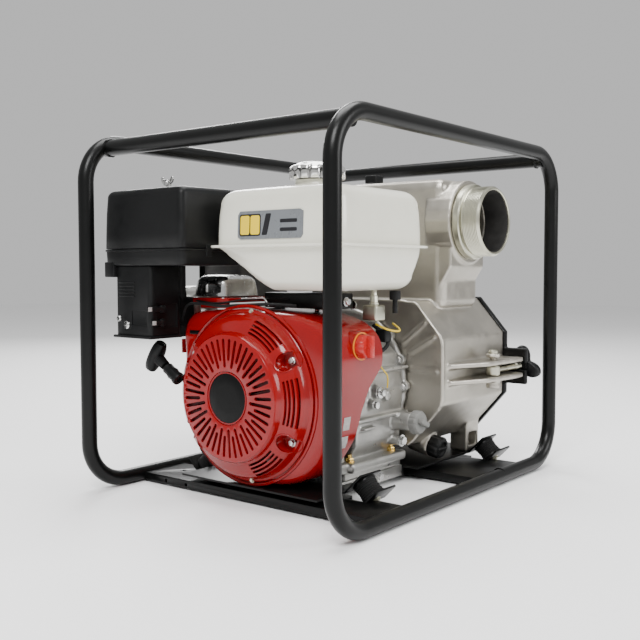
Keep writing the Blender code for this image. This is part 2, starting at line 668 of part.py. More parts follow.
# ---------------------------------------------------------------- fuel tank
# Each level is (height, inset from the tank's outline); the flange at the seam stands proud
TANK_SHELL = [
    (TANK_BOTTOM, 0.030), (0.320, 0.020), (0.335, 0.010), (TANK_SEAM_Z - 0.002, 0.0),
    (TANK_SEAM_Z - 0.002, -0.008), (TANK_SEAM_Z + 0.002, -0.008), (TANK_SEAM_Z + 0.002, 0.0),
    (0.440, 0.003), (0.457, 0.014), (0.465, 0.034), (0.469, 0.066),
]
TANK_ROOM = [
    (TANK_BOTTOM + 0.003, 0.033), (0.323, 0.024), (0.336, 0.014), (TANK_SEAM_Z, 0.004),
    (0.439, 0.007), (0.454, 0.017), (0.462, 0.036), (0.466, 0.066),
]
# The underside rises towards the cylinder, outside and inside, as (Y, Z)
TANK_RISE = [(-0.0483, 0.313), (0.033, 0.3565), (0.20, 0.3565), (0.20, 0.25), (-0.0483, 0.25)]
ROOM_RISE = [(-0.0520, 0.315), (0.0315, 0.3600), (0.20, 0.3600), (0.20, 0.25), (-0.0520, 0.25)]


def fuel_tank():
    shell = loft(TANK_SHELL, TANK_LO, TANK_HI, 0.030, 4)
    wedge = prism(TANK_RISE, "X", TANK_LO[0] - 0.05, TANK_HI[0] + 0.05)
    neck = rod((*FUEL_CAP_AT, 0.455), (*FUEL_CAP_AT, 0.477), 0.032, 28)
    throat = rod((*FUEL_CAP_AT, 0.440), (*FUEL_CAP_AT, 0.490), 0.028, 28)
    hollow = put("fuel_tank_room_guide", loft(TANK_ROOM, TANK_LO, TANK_HI, 0.027, 4), CREAM)
    hollow.hide_render = True
    hollow.display_type = "WIRE"
    combine(hollow, prism(ROOM_RISE, "X", TANK_LO[0] - 0.05, TANK_HI[0] + 0.05), "DIFFERENCE", CREAM)
    tank = build("fuel_tank", [shell, neck], CREAM, [wedge])
    step = tank.modifiers.new("room", "BOOLEAN")
    step.operation = "DIFFERENCE"
    step.object = hollow
    combine(tank, throat, "DIFFERENCE", CREAM)
    lid_at = (*FUEL_CAP_AT, 0.4774)
    outline = []
    for k in range(36):
        radius = FUEL_CAP_R - (0 if k % 2 else 0.0015)
        angle = 2 * pi * k / 36
        outline.append((FUEL_CAP_AT[0] + radius * cos(angle), FUEL_CAP_AT[1] + radius * sin(angle)))
    grip = prism(outline, "Z", lid_at[2], lid_at[2] + 0.020)
    crown = rod((*FUEL_CAP_AT, lid_at[2] + 0.017), (*FUEL_CAP_AT, lid_at[2] + 0.0246), 0.036, 28)
    build("fuel_cap", [grip, crown], CHROME, origin=lid_at)
    x, y = -0.072, -0.130
    cup = box((x - 0.013, y - 0.013, 0.2686), (x + 0.013, y + 0.013, 0.2925), 0.003)
    nut = rod((x, y, 0.290), (x, y, TANK_BOTTOM - GAP), 0.0065, 6)
    build("fuel_filter_cup", [cup, nut], ZINC)


# ---------------------------------------------------------------- pump
DRUM_OUTLINE = [
    (-0.180, 0.131), (-0.180, 0.236), (-0.128, 0.295), (0.128, 0.295), (0.180, 0.236), (0.180, 0.131),
    (0.117, 0.060), (-0.117, 0.060),
]


def clevis(side):
    """Two ribs on the drum's flank that hold a swing bolt between them."""
    ribs = []
    for low, high in ((PIN_Z - 0.0175, PIN_Z - 0.009), (PIN_Z + 0.009, PIN_Z + 0.0175)):
        outline = [
            (0.060, side * 0.174), (0.060, side * 0.184), (0.130, side * 0.214), (0.215, side * 0.222),
            (DRUM_FRONT - 0.0055, side * 0.222), (DRUM_FRONT - 0.0055, side * 0.174),
        ]
        if side > 0:
            outline.reverse()
        ribs.append(prism(outline, "Z", low, high))
    ribs.append(rod((PIN_X, side * PIN_Y, PIN_Z - 0.0165), (PIN_X, side * PIN_Y, PIN_Z + 0.021), 0.0045, 14))
    return ribs


def leg(side):
    ys = sorted((side * 0.100, side * 0.134))
    return box((0.205, ys[0], CRADLE_TOP + GAP), (0.2485, ys[1], 0.125))


def leg_window(side):
    ys = sorted((side * 0.080, side * 0.150))
    return box((0.213, ys[0], 0.036), (0.2405, ys[1], 0.0585))


def pump_casing():
    drum = prism(DRUM_OUTLINE, "X", DRUM_REAR, DRUM_FRONT)
    chamber = box(CHAMBER_LO, CHAMBER_HI, 0.014)
    boss = rod((DISCHARGE_X, BOSS_FACE_Y, DISCHARGE_Z), (DISCHARGE_X, -0.12, DISCHARGE_Z), 0.069)
    neck_outline = [
        (BOSS_FACE_Y + 0.004, 0.385), (BOSS_FACE_Y + 0.004, 0.350), (-0.124, 0.285), (-0.060, 0.285),
        (-0.060, 0.385),
    ]
    neck = prism(neck_outline, "X", 0.095, 0.205)
    suction_boss = rod((0.200, SUCTION_Y, SUCTION_Z), (0.226, SUCTION_Y, SUCTION_Z), 0.066)
    drain_boss = rod((0.100, -0.090, 0.062), (0.100, -0.128, 0.054), 0.020, 20)
    parts = [drum, chamber, neck, boss, suction_boss, drain_boss]
    for side in (-1, 1):
        parts += clevis(side)
        parts.append(leg(side))
    drum_room = prism(inset(DRUM_OUTLINE, 0.009, (0.0, 0.178)), "X", DRUM_REAR + 0.009, DRUM_FRONT + 0.02)
    discharge_room = box((0.101, -0.142, 0.304), (0.206, -0.056, 0.485), 0.008)
    suction_room = box((0.101, -0.046, 0.304), (0.206, 0.086, 0.485), 0.008)
    down_discharge = box((0.105, -0.120, 0.270), (0.150, -0.062, 0.320))
    down_suction = box((0.150, -0.030, 0.270), (0.198, 0.070, 0.320))
    discharge = (DISCHARGE_X, -0.20, DISCHARGE_Z), (DISCHARGE_X, -0.13, DISCHARGE_Z)
    suction = (0.24, SUCTION_Y, SUCTION_Z), (0.19, SUCTION_Y, SUCTION_Z)
    discharge_way = rod(*discharge, PORT_BORE_R, 28)
    suction_way = rod(*suction, PORT_BORE_R, 28)
    shaft_hole = rod(shaft_point(0.03), shaft_point(0.07), SHAFT_R + 0.001)
    drain_way = rod((0.100, -0.085, 0.0631), (0.100, -0.14, 0.0515), 0.012, 16)
    prime_way = rod((0.150, 0.027, 0.47), (0.150, 0.027, 0.51), 0.014, 20)
    cuts = [leg_window(-1), leg_window(1), drum_room, shaft_hole, drain_way, discharge_room, suction_room]
    cuts += [down_discharge, down_suction, prime_way, discharge_way, suction_way]
    build("pump_casing", parts, CASTING, cuts)


def nipple(name, at, along, length, finish):
    """A 4-inch port: a collar, then a thread, with a plain bore."""
    profile = [
        (PORT_BORE_R, 0), (0.062, 0), (0.062, 0.014), (PORT_R, 0.016), (PORT_R, length - 0.002),
        (PORT_R - 0.002, length), (PORT_BORE_R, length),
    ]
    put(name, turned(profile, at, along, 28, ring=True), finish)


def ports():
    start = BOSS_FACE_Y - GAP
    nipple("discharge_nipple", (DISCHARGE_X, start, DISCHARGE_Z), (0, -1, 0), start - DISCHARGE_MOUTH, ZINC)
    start = 0.226 + GAP
    nipple("suction_nipple", (start, SUCTION_Y, SUCTION_Z), (1, 0, 0), SUCTION_MOUTH - start, ZINC)
    hinge = (0.2010, SUCTION_Y, 0.4720)
    flap = rod((0.1990, SUCTION_Y, SUCTION_Z), (0.2048, SUCTION_Y, SUCTION_Z), 0.0525, 24)
    strap = box((0.1990, SUCTION_Y - 0.016, 0.440), (0.2030, SUCTION_Y + 0.016, 0.4760))
    build("flap_valve", [flap, strap], RUBBER, origin=hinge)
    plug = box((0.138, 0.015, 0.4974), (0.162, 0.039, 0.5124), 0.002)
    flange = rod((0.150, 0.027, 0.4944), (0.150, 0.027, 0.499), 0.018, 20)
    shank = rod((0.150, 0.027, 0.487), (0.150, 0.027, 0.500), 0.0132, 20)
    build("priming_plug", [flange, plug, shank], BLACK_PLASTIC, origin=(0.150, 0.027, 0.4944))
    way = Vector((0, -0.038, -0.008)).normalized()
    start = Vector((0.100, -0.128, 0.054)) + way * GAP
    body = turned([(0, 0), (0.019, 0), (0.019, 0.018), (0.017, 0.020), (0, 0.020)], start, way, 20)
    shank = rod(start - way * 0.010, start + way * 0.005, 0.0113, 16)
    build("drain_plug", [body, shank], BLACK_PLASTIC, origin=tuple(start))


def clean_out_cover():
    start = DRUM_FRONT + GAP
    face = prism(inset(DRUM_OUTLINE, -0.003, (0.0, 0.178)), "X", start, start + COVER_THICK, 0.002)
    parts = [face]
    slots = []
    for side in (-1, 1):
        outline = [(start, side * 0.172), (start, side * 0.2235)]
        for k in range(5):
            angle = radians(10.5 - 5 * k)
            outline.append((PIN_X + EAR_RADIUS * cos(angle), side * (PIN_Y + EAR_RADIUS * sin(angle))))
        outline.append((start + COVER_THICK - 0.001, side * 0.172))
        parts.append(prism(outline, "Z", PIN_Z - 0.031, PIN_Z + 0.031))
        ys = sorted((side * (PIN_Y - 0.0065), side * 0.24))
        slots.append(box((start - 0.01, ys[0], PIN_Z - 0.0065), (start + 0.03, ys[1], PIN_Z + 0.0065)))
    for z in (0.120, 0.165, 0.210):
        parts.append(box((start + 0.010, -0.150, z - 0.003), (start + 0.017, 0.150, z + 0.003)))
    parts.append(box((start + 0.010, -0.003, 0.075), (start + 0.0165, 0.003, 0.280)))
    build("clean_out_cover", parts, BLACK_PAINT, slots)


def volute():
    profile = [
        (0.046, 0.0), (0.0905, 0.0), (0.0905, -0.058), (0.0835, -0.058), (0.0835, -0.008), (0.046, -0.008),
    ]
    outer = turned(profile, shaft_point(0.1145), (1, 0, 0), 28, ring=True)
    way_out = box((0.064, -0.130, 0.19), (0.100, -0.050, 0.34))
    build("volute_insert", [outer], IRON, [way_out])
    put("shaft_seal", washer(shaft_point(0.0515), (1, 0, 0), SHAFT_R + 0.001, 0.026, 0.012, 24), RUBBER)


def swing_bolts():
    """Eye bolts that swing out sideways from the clevis, each with its three-lobed knob."""
    for name, side in (("near", -1), ("far", 1)):
        pin = (PIN_X, side * PIN_Y, PIN_Z)
        eye = washer((pin[0], pin[1], PIN_Z - 0.008), (0, 0, 1), 0.0050, 0.0115, 0.016, 18)
        stud = rod((PIN_X + 0.0080, pin[1], PIN_Z), (PIN_X + 0.112, pin[1], PIN_Z), 0.0048, 12)
        build(f"swing_bolt_{name}", [eye, stud], ZINC, origin=pin)
        outline = []
        for k in range(24):
            angle = 2 * pi * k / 24
            radius = 0.0245 + 0.0100 * cos(3 * angle)
            outline.append((pin[1] + radius * cos(angle + 0.35), PIN_Z + radius * sin(angle + 0.35)))
        seat = PIN_X + KNOB_SEAT
        lobes = prism(outline, "X", seat + 0.006, seat + 0.024)
        hub = rod((seat, pin[1], PIN_Z), (seat + 0.010, pin[1], PIN_Z), 0.0130, 16)
        hole = rod((seat - 0.01, pin[1], PIN_Z), (seat + 0.0165, pin[1], PIN_Z), 0.0052, 12)
        build(f"cover_knob_{name}", [hub, lobes], BLACK_PLASTIC, [hole], (seat, pin[1], PIN_Z))


frame()
base()
cradles()
isolators()
engine_rails()
crankcase()
crankcase_cover()
cylinder_head()
rotating_set()
piston()
fan_housing()
recoil()
engine_controls()
carburettor()
air_cleaner()
exhaust()
top_shroud()
fuel_tank()
pump_casing()
ports()
clean_out_cover()
volute()
swing_bolts()
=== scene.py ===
"""Looks of a petrol-engine trash pump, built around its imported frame. Metres, +Z up."""

import json
from math import cos, pi, radians, sin

import bmesh
import bpy
from mathutils import Matrix, Vector

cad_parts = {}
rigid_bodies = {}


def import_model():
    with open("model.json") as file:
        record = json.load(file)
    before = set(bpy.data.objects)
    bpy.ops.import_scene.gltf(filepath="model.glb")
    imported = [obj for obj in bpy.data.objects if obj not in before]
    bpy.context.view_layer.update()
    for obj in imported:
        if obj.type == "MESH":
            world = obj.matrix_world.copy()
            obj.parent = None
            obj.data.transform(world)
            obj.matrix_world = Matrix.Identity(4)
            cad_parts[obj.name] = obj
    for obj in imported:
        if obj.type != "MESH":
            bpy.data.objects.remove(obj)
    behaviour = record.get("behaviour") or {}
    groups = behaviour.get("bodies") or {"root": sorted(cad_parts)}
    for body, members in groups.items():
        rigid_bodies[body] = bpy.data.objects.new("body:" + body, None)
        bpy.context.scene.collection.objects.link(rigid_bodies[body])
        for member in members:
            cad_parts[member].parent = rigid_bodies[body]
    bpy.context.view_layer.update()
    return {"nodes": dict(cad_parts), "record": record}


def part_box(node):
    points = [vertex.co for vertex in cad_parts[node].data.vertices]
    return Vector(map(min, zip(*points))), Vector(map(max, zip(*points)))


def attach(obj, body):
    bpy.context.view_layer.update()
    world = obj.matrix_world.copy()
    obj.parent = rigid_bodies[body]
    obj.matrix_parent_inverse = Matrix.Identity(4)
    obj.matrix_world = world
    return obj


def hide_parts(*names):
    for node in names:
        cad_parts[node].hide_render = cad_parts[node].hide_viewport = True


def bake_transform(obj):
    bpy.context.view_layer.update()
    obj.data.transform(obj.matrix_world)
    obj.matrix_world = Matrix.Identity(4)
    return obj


for thing in list(bpy.data.objects):
    bpy.data.objects.remove(thing, do_unlink=True)
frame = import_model()

UP, BACK_X, NEAR_Y = Vector((0, 0, 1)), Vector((-1, 0, 0)), Vector((0, -1, 0))
SKIN = 0.0003  # how far stickers and pads stand off what they lie on
WELD = 2e-6  # points closer than this are one point
AXIS = 1e-5  # the least radius of a turned profile, so that its ends stay open rings


# ---------------------------------------------------------------- materials
def material(name, colour, rough, metal=0.0, coat=0.0, blotch=0.12, blotch_size=30.0, grain=0.0,
             grain_size=900.0, spread=0.08, edge=0.0, shine=0.5):
    """A finish with uneven colour, uneven gloss, a fine surface grain and, on edges, wear."""
    made = bpy.data.materials.new(name)
    made.use_nodes = True
    nodes, links = made.node_tree.nodes, made.node_tree.links
    shader = nodes["Principled BSDF"]
    shader.inputs["Metallic"].default_value = metal
    shader.inputs["Coat Weight"].default_value = coat
    shader.inputs["Specular IOR Level"].default_value = shine
    shader.inputs["Coat Roughness"].default_value = 0.06
    place = nodes.new("ShaderNodeTexCoord").outputs["Object"]

    def noise(scale, detail):
        found = nodes.new("ShaderNodeTexNoise")
        found.inputs["Scale"].default_value = scale
        found.inputs["Detail"].default_value = detail
        links.new(place, found.inputs["Vector"])
        return found.outputs["Fac"]

    def ramp(source, low, high, start=0.3, end=0.7):
        found = nodes.new("ShaderNodeMapRange")
        for socket, value in zip(("From Min", "From Max", "To Min", "To Max"), (start, end, low, high)):
            found.inputs[socket].default_value = value
        links.new(source, found.inputs["Value"])
        return found.outputs["Result"]

    def mix(factor, first, second):
        found = nodes.new("ShaderNodeMix")
        found.data_type = "RGBA"
        links.new(factor, found.inputs["Factor"])
        for socket, value in ((found.inputs["A"], first), (found.inputs["B"], second)):
            if isinstance(value, tuple):
                socket.default_value = (*value, 1.0)
            else:
                links.new(value, socket)
        return found.outputs["Result"]

    dark = tuple(value * (1 - blotch) for value in colour)
    light = tuple(min(value * (1 + 0.6 * blotch), 1.0) for value in colour)
    tint = mix(ramp(noise(blotch_size, 4.0), 0.0, 1.0), dark, light)
    if edge:
        worn = nodes.new("ShaderNodeNewGeometry").outputs["Pointiness"]
        bare = tuple(min(value + edge, 0.85) for value in colour)
        tint = mix(ramp(worn, 0.0, 0.7, 0.53, 0.6), tint, bare)
    links.new(tint, shader.inputs["Base Color"])
    gloss = ramp(noise(blotch_size * 2.3, 5.0), max(rough - spread, 0.03), rough + spread)
    links.new(gloss, shader.inputs["Roughness"])
    if grain:
        bump = nodes.new("ShaderNodeBump")
        bump.inputs["Strength"].default_value = grain
        bump.inputs["Distance"].default_value = 0.0006
        links.new(noise(grain_size, 3.0), bump.inputs["Height"])
        links.new(bump.outputs["Normal"], shader.inputs["Normal"])
    return made


FINISH = {
    "frame_black": material("frame_enamel", (0.0032, 0.0034, 0.0033), 0.3, blotch=0.2,
                            spread=0.01, shine=0.2),
    "engine_red": material("red_enamel", (0.225, 0.0014, 0.002), 0.18, coat=0.35, blotch=0.06,
                           grain=0.04, grain_size=180, spread=0.03, shine=0.25),
    "tank_cream": material("cream_enamel", (0.74, 0.73, 0.63), 0.2, coat=0.5, blotch=0.02,
                           grain=0.03, grain_size=160, spread=0.03),
    "cast_aluminium": material("cast_aluminium", (0.43, 0.405, 0.355), 0.36, metal=0.9, blotch=0.1,
                               blotch_size=22, grain=0.3, grain_size=1100, edge=0.16),
    "die_cast": material("die_cast_aluminium", (0.42, 0.415, 0.395), 0.35, metal=0.85, blotch=0.14,
                         blotch_size=35, grain=0.25, grain_size=900, edge=0.18),
    "zinc": material("yellow_zinc", (0.52, 0.51, 0.41), 0.3, metal=0.95, blotch=0.05,
                     blotch_size=20, spread=0.02),
    "gold_zinc": material("gold_zinc", (0.62, 0.42, 0.12), 0.25, metal=0.9, blotch=0.2, blotch_size=90),
    "steel": material("bright_steel", (0.62, 0.62, 0.61), 0.22, metal=1.0, grain=0.05, blotch_size=60),
    "chrome": material("chrome_plate", (0.78, 0.77, 0.75), 0.13, metal=1.0, blotch=0.1, spread=0.05),
    "black_plastic": material("black_moulding", (0.004, 0.0042, 0.0044), 0.42, grain=0.1,
                              grain_size=1500, blotch=0.2, edge=0.004, shine=0.2),
    "gloss_black": material("gloss_black", (0.003, 0.003, 0.003), 0.35, blotch=0.2, shine=0.12),
    "rubber": material("rubber", (0.007, 0.007, 0.007), 0.7, grain=0.3, grain_size=700, blotch=0.3,
                       shine=0.25),
    "grey_plastic": material("grey_moulding", (0.16, 0.16, 0.15), 0.55, grain=0.2, blotch=0.15),
    "iron": material("dark_iron", (0.06, 0.058, 0.056), 0.55, metal=0.7, grain=0.5, blotch=0.35),
    "foam": material("pleated_paper", (0.42, 0.33, 0.19), 0.9, grain=0.5, blotch=0.2),
    "label_grey": material("label_grey", (0.15, 0.16, 0.17), 0.3, blotch=0.06),
    "label_yellow": material("label_yellow", (0.78, 0.55, 0.01), 0.35, blotch=0.05),
    "label_dark": material("label_dark", (0.012, 0.012, 0.014), 0.4, blotch=0.2, shine=0.3),
    "label_pale": material("label_pale", (0.36, 0.34, 0.33), 0.4, blotch=0.35, blotch_size=260),
    "orange": material("orange_ring", (0.75, 0.24, 0.02), 0.35, blotch=0.1),
    "wire_yellow": material("yellow_wire", (0.75, 0.52, 0.02), 0.4, blotch=0.1),
    "pearl": material("switch_red", (0.42, 0.014, 0.012), 0.25, coat=0.4, blotch=0.1, blotch_size=80,
                      shine=0.3),
    # painted shade: a darker copy of the red enamel for the inside of the starter cover, behind its slots
    "shade_red": material("painted_shade_red_enamel", (0.06, 0.001, 0.0015), 0.5, blotch=0.2, shine=0.2),
}


# ---------------------------------------------------------------- shape helpers
def skin(rows, ring=False, closed=True):
    """Faces between rows of points; the ends are capped unless the rows close on themselves."""
    bm = bmesh.new()
    made = [[bm.verts.new(point) for point in row] for row in rows]
    count = len(made[0])
    pairs = list(zip(made, made[1:]))
    if ring:
        pairs.append((made[-1], made[0]))
    for first, second in pairs:
        for i in range(count if closed else count - 1):
            j = (i + 1) % count
            bm.faces.new((first[i], first[j], second[j], second[i]))
    if closed and not ring:
        bm.faces.new(made[0][::-1])
        bm.faces.new(made[-1])
    return bm


def turned(profile, steps, place):
    """Rings of points: place(angle, *level) puts each level of the profile at an angle."""
    return [[place(2 * pi * k / steps, *level) for k in range(steps)] for level in profile]


def basis(along):
    """A direction and two more square to it."""
    along = Vector(along).normalized()
    across = along.orthogonal().normalized()
    return along, across, along.cross(across)


def lathe(profile, at, along, steps=48, ring=False):
    """Turn (radius, height) points about an axis."""
    along, across, third = basis(along)
    at = Vector(at)

    def place(angle, radius, height):
        return at + along * height + (across * cos(angle) + third * sin(angle)) * max(radius, AXIS)
    return skin(turned(profile, steps, place), ring)


def tube(points, radius, steps=12, closed=False):
    """A round bar along points; each section is square to the path."""
    points = [Vector(point) for point in points]
    count = len(points)
    normal = None
    rows = []
    for i, point in enumerate(points):
        ahead = points[(i + 1) % count] if closed or i < count - 1 else point
        behind = points[i - 1] if closed or i else point
        along = (ahead - behind).normalized()
        if normal is None:
            normal = along.orthogonal().normalized()
        normal = (normal - along * normal.dot(along)).normalized()
        third = along.cross(normal)
        angles = [2 * pi * k / steps for k in range(steps)]
        rows.append([point + (normal * cos(a) + third * sin(a)) * radius for a in angles])
    return skin(rows, ring=closed)


def smooth_path(points, each=8, closed=False):
    """A Catmull-Rom curve through the points."""
    points = [Vector(point) for point in points]
    count = len(points)
    found = []
    for i in range(count if closed else count - 1):
        if closed:
            a, b, c, d = (points[(i + k) % count] for k in (-1, 0, 1, 2))
        else:
            a, b, c, d = (points[min(max(i + k, 0), count - 1)] for k in (-1, 0, 1, 2))
        for k in range(each):
            t = k / each
            found.append(0.5 * (2 * b + (c - a) * t + (2 * a - 5 * b + 4 * c - d) * t * t
                                + (3 * b - a - 3 * c + d) * t ** 3))
    if not closed:
        found.append(points[-1])
    return found


PLACE = {
    "X": lambda a, b, h: Vector((h, a, b)),
    "Y": lambda a, b, h: Vector((a, h, b)),
    "Z": lambda a, b, h: Vector((a, b, h)),
}


def prism(outline, axis, low, high):
    """A flat outline drawn out along X, Y or Z."""
    return skin([[PLACE[axis](a, b, h) for a, b in outline] for h in (low, high)])


def block(lo, hi, bevel=0.0, segments=3, turn=None):
    """A box between two corners, with round edges, turned about its own middle."""
    bm = bmesh.new()
    bmesh.ops.create_cube(bm, size=1.0)
    lo, hi = Vector(lo), Vector(hi)
    bmesh.ops.scale(bm, verts=bm.verts, vec=hi - lo)
    if bevel:
        bmesh.ops.bevel(bm, geom=bm.edges[:], offset=bevel, segments=segments, affect="EDGES", profile=0.5)
    if turn is not None:
        bmesh.ops.transform(bm, verts=bm.verts, matrix=turn)
    bmesh.ops.translate(bm, verts=bm.verts, vec=(lo + hi) / 2)
    return bm


def merged(shapes):
    """Several shapes as one mesh."""
    whole = bmesh.new()
    for bm in shapes:
        mesh = bpy.data.meshes.new("part")
        bm.to_mesh(mesh)
        bm.free()
        whole.from_mesh(mesh)
        bpy.data.meshes.remove(mesh)
    return whole


def settle(thing):
    """Put the result of the modifiers in the mesh."""
    bpy.context.view_layer.update()
    graph = bpy.context.evaluated_depsgraph_get()
    mesh = bpy.data.meshes.new_from_object(thing.evaluated_get(graph))
    thing.modifiers.clear()
    thing.data = mesh


def modify(thing, kind, **settings):
    """Apply one modifier."""
    step = thing.modifiers.new(kind.lower(), kind)
    for key, value in settings.items():
        setattr(step, key, value)
    settle(thing)


def link(name, bm):
    """Make an object of a shape, with its faces turned outwards."""
    bmesh.ops.remove_doubles(bm, verts=bm.verts, dist=WELD)
    bmesh.ops.recalc_face_normals(bm, faces=bm.faces)
    mesh = bpy.data.meshes.new(name)
    bm.to_mesh(mesh)
    bm.free()
    thing = bpy.data.objects.new(name, mesh)
    bpy.context.scene.collection.objects.link(thing)
    return thing


def piece(name, shapes, finish, body="root", stands_for=(), slot=None, cuts=(), bevel=0.0, segments=2,
          voxel=0.0, soften=0, keep=1.0, angle=35):
    """One visible piece: shapes, less cuts, then bevelled or melted together like a casting."""
    thing = link(name, merged(shapes) if isinstance(shapes, (list, tuple)) else shapes)
    if cuts:
        cutter = link(name + "_cutter", merged(cuts))
        modify(thing, "BOOLEAN", object=cutter, operation="DIFFERENCE", solver="EXACT")
        bpy.data.objects.remove(cutter)
    if voxel:
        modify(thing, "REMESH", mode="VOXEL", voxel_size=voxel)
        modify(thing, "SMOOTH", factor=0.5, iterations=soften)
        if keep < 1:
            modify(thing, "DECIMATE", ratio=keep)
    if bevel:
        modify(thing, "BEVEL", width=bevel, segments=segments, limit_method="ANGLE",
               angle_limit=radians(32))
    thing.data.materials.clear()
    thing.data.materials.append(FINISH[finish])
    thing.data.shade_smooth()
    thing.data.set_sharp_from_angle(angle=radians(angle))
    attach(thing, body)
    if stands_for:
        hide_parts(*stands_for)
    return thing


BODIES = frame["record"]["behaviour"]["bodies"]
BODY_OF = {node: body for body, members in BODIES.items() for node in members}


def cad_shape(node):
    """The CAD node's own mesh as a new shape, with its flat faces joined up."""
    bm = bmesh.new()
    bm.from_mesh(frame["nodes"][node].data)
    bmesh.ops.remove_doubles(bm, verts=bm.verts, dist=WELD)
    bmesh.ops.dissolve_limit(bm, angle_limit=radians(1), verts=bm.verts, edges=bm.edges)
    return bm


def refined(node, finish, bevel=0.0006, slot=None, **more):
    """A CAD node again, with its edges eased and its finish on."""
    return piece(node + "_shown", cad_shape(node), finish, BODY_OF[node], (node,), slot, bevel=bevel,
                 **more)


def cast(node, finish, extras, voxel, soften, keep=1.0, slot=None):
    """A CAD node and extra ribs melted together, with the soft edges of a casting."""
    shapes = [cad_shape(node), *extras]
    return piece(node + "_shown", shapes, finish, BODY_OF[node], (node,), slot, voxel=voxel, soften=soften,
                 keep=keep, angle=60)


def bolt(at, along, radius, head=None, washer=True):
    """A hexagon head on its washer."""
    head = head or radius * 1.1
    along, across, third = basis(along)
    at = Vector(at)

    def place(angle, height, scale):
        return at + along * height + (across * cos(angle) + third * sin(angle)) * radius * scale
    shapes = [skin(turned(((0, 1.0), (head * 0.8, 1.0), (head, 0.86)), 6, place))]
    if washer:
        shapes.append(lathe([(radius * 1.25, -0.0002), (radius * 1.25, head * 0.22), (0, head * 0.22)], at,
                            along, 20))
    return merged(shapes)


def middle(node):
    """The centre of a CAD node."""
    lo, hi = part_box(node)
    return (lo + hi) / 2


# ---------------------------------------------------------------- carrying frame
BEND_RADIUS = 0.065
SEAM_X = 0.13  # where the hoop's two ends meet
BEAD_RISE, BEAD_HALF = 0.0006, 0.0015


def hoop(node):
    """One bent tube, with the bead of its butt seam under the pump."""
    lo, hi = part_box(node)
    bend, radius = BEND_RADIUS, (hi.y - lo.y) / 2
    y = (lo.y + hi.y) / 2
    rows = []
    corners = ((hi.x, hi.z, 0), (lo.x, hi.z, 90), (lo.x, lo.z, 180), (hi.x, lo.z, 270))
    for x, z, start in corners:
        step = bend + radius
        centre = (x - step if x > 0 else x + step, z - step if z > 0.3 else z + step)
        for k in range(15):
            angle = radians(start + 90 * k / 14)
            rows.append((centre[0] + bend * cos(angle), y, centre[1] + bend * sin(angle)))
    inward = y - 0.0013 if y > 0 else y + 0.0013
    swell = radius + BEAD_RISE
    seam = lathe([(swell, -BEAD_HALF), (swell, BEAD_HALF)], (SEAM_X, inward, lo.z + radius + 0.0008),
                 (1, 0, 0), 32)
    piece(node + "_tube", [tube(rows, radius, 28, closed=True), seam], "frame_black", stands_for=(node,))


def crossbar(node):
    """A straight tube between the hoops' centre lines, welded round both ends."""
    at = middle(node)
    radius, reach = 0.0124, middle("hoop_far").y
    bar = tube([(at.x, -reach, at.z), (at.x, reach, at.z)], radius, 28)
    beads = []
    for side in (-1, 1):
        ring = []
        for k in range(40):
            angle = 2 * pi * k / 40
            swell = 0.0004 * sin(9 * angle)
            inward = side * (reach - 0.0118 * (1 - 0.25 * cos(angle) ** 2))
            ring.append((at.x + (radius + swell) * cos(angle), inward,
                         at.z + (radius + swell) * sin(angle)))
        beads.append(tube(ring, 0.0019, 8, closed=True))
    piece(node + "_tube", [bar, *beads], "frame_black", stands_for=(node,))


def isolator(node):
    """Ribbed rubber barrel between two steel plates, with the stud's nut on each end."""
    side = -1 if node.endswith("near") else 1
    at, along = middle(node), Vector((0, side, -1)).normalized()
    half, plate = 0.0138, 0.0028
    profile = [(0, plate - half), (0.0182, plate - half)]
    for k in range(13):
        t = -1 + k / 6
        profile.append((0.0165 + 0.0012 * abs(t) + 0.0005 * cos(6 * pi * t), t * (half - plate - 0.0008)))
    profile += [(0.0182, half - plate), (0, half - plate)]
    piece(node + "_rubber", lathe(profile, at, along, 40), "rubber", stands_for=(node,))
    discs = []
    for sign in (-1, 1):
        rim = [(0, 0), (0.0188, 0), (0.0188, plate * 0.9), (0.018, plate), (0, plate)]
        discs.append(lathe(rim, at - along * sign * half, along * sign, 40))
    piece(node + "_plates", discs, "frame_black")
    nut = bolt(at - along * (half + 0.0032), -along, 0.0062, 0.005)
    nut_low = bolt(at + along * (half + 0.0032), along, 0.0062, 0.004)
    piece(node + "_nuts", [nut, nut_low], "zinc")


def carrying_frame():
    """Hoops, cross bars, base channels, cradles, isolators and engine rails."""
    for node in ("hoop_near", "hoop_far"):
        hoop(node)
    for node in ("crossbar_front", "crossbar_rear"):
        crossbar(node)
    for node in ("base_channel_front", "base_channel_rear", "cradle_front", "cradle_rear"):
        refined(node, "frame_black", 0.0006)
    for node in ("isolator_front_near", "isolator_front_far", "isolator_rear_near", "isolator_rear_far"):
        isolator(node)
    for node in ("engine_rail_near", "engine_rail_far"):
        refined(node, "die_cast", 0.0012, slot="cast_aluminium")


# ---------------------------------------------------------------- recoil starter
SHAFT = middle("recoil_reel")
RECOIL_LO, RECOIL_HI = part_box("recoil_cover")
FACE_X, BACK = RECOIL_LO.x, RECOIL_HI.x


def round_point(radius, degrees, x):
    """A point about the shaft: 0 degrees is towards the near side, 90 is up."""
    angle = radians(degrees)
    return Vector((x, SHAFT.y - radius * cos(angle), SHAFT.z + radius * sin(angle)))


def stadium(inner, outer, degrees, half, ends=5):
    """A radial slot with round ends, as points in Y and Z."""
    points = []
    for centre, start in ((outer - half, -90), (inner + half, 90)):
        for k in range(ends + 1):
            turn = radians(start + 180 * k / ends)
            along, off = centre + half * cos(turn), half * sin(turn)
            angle = radians(degrees)
            points.append((SHAFT.y - along * cos(angle) + off * sin(angle),
                           SHAFT.z + along * sin(angle) + off * cos(angle)))
    return points


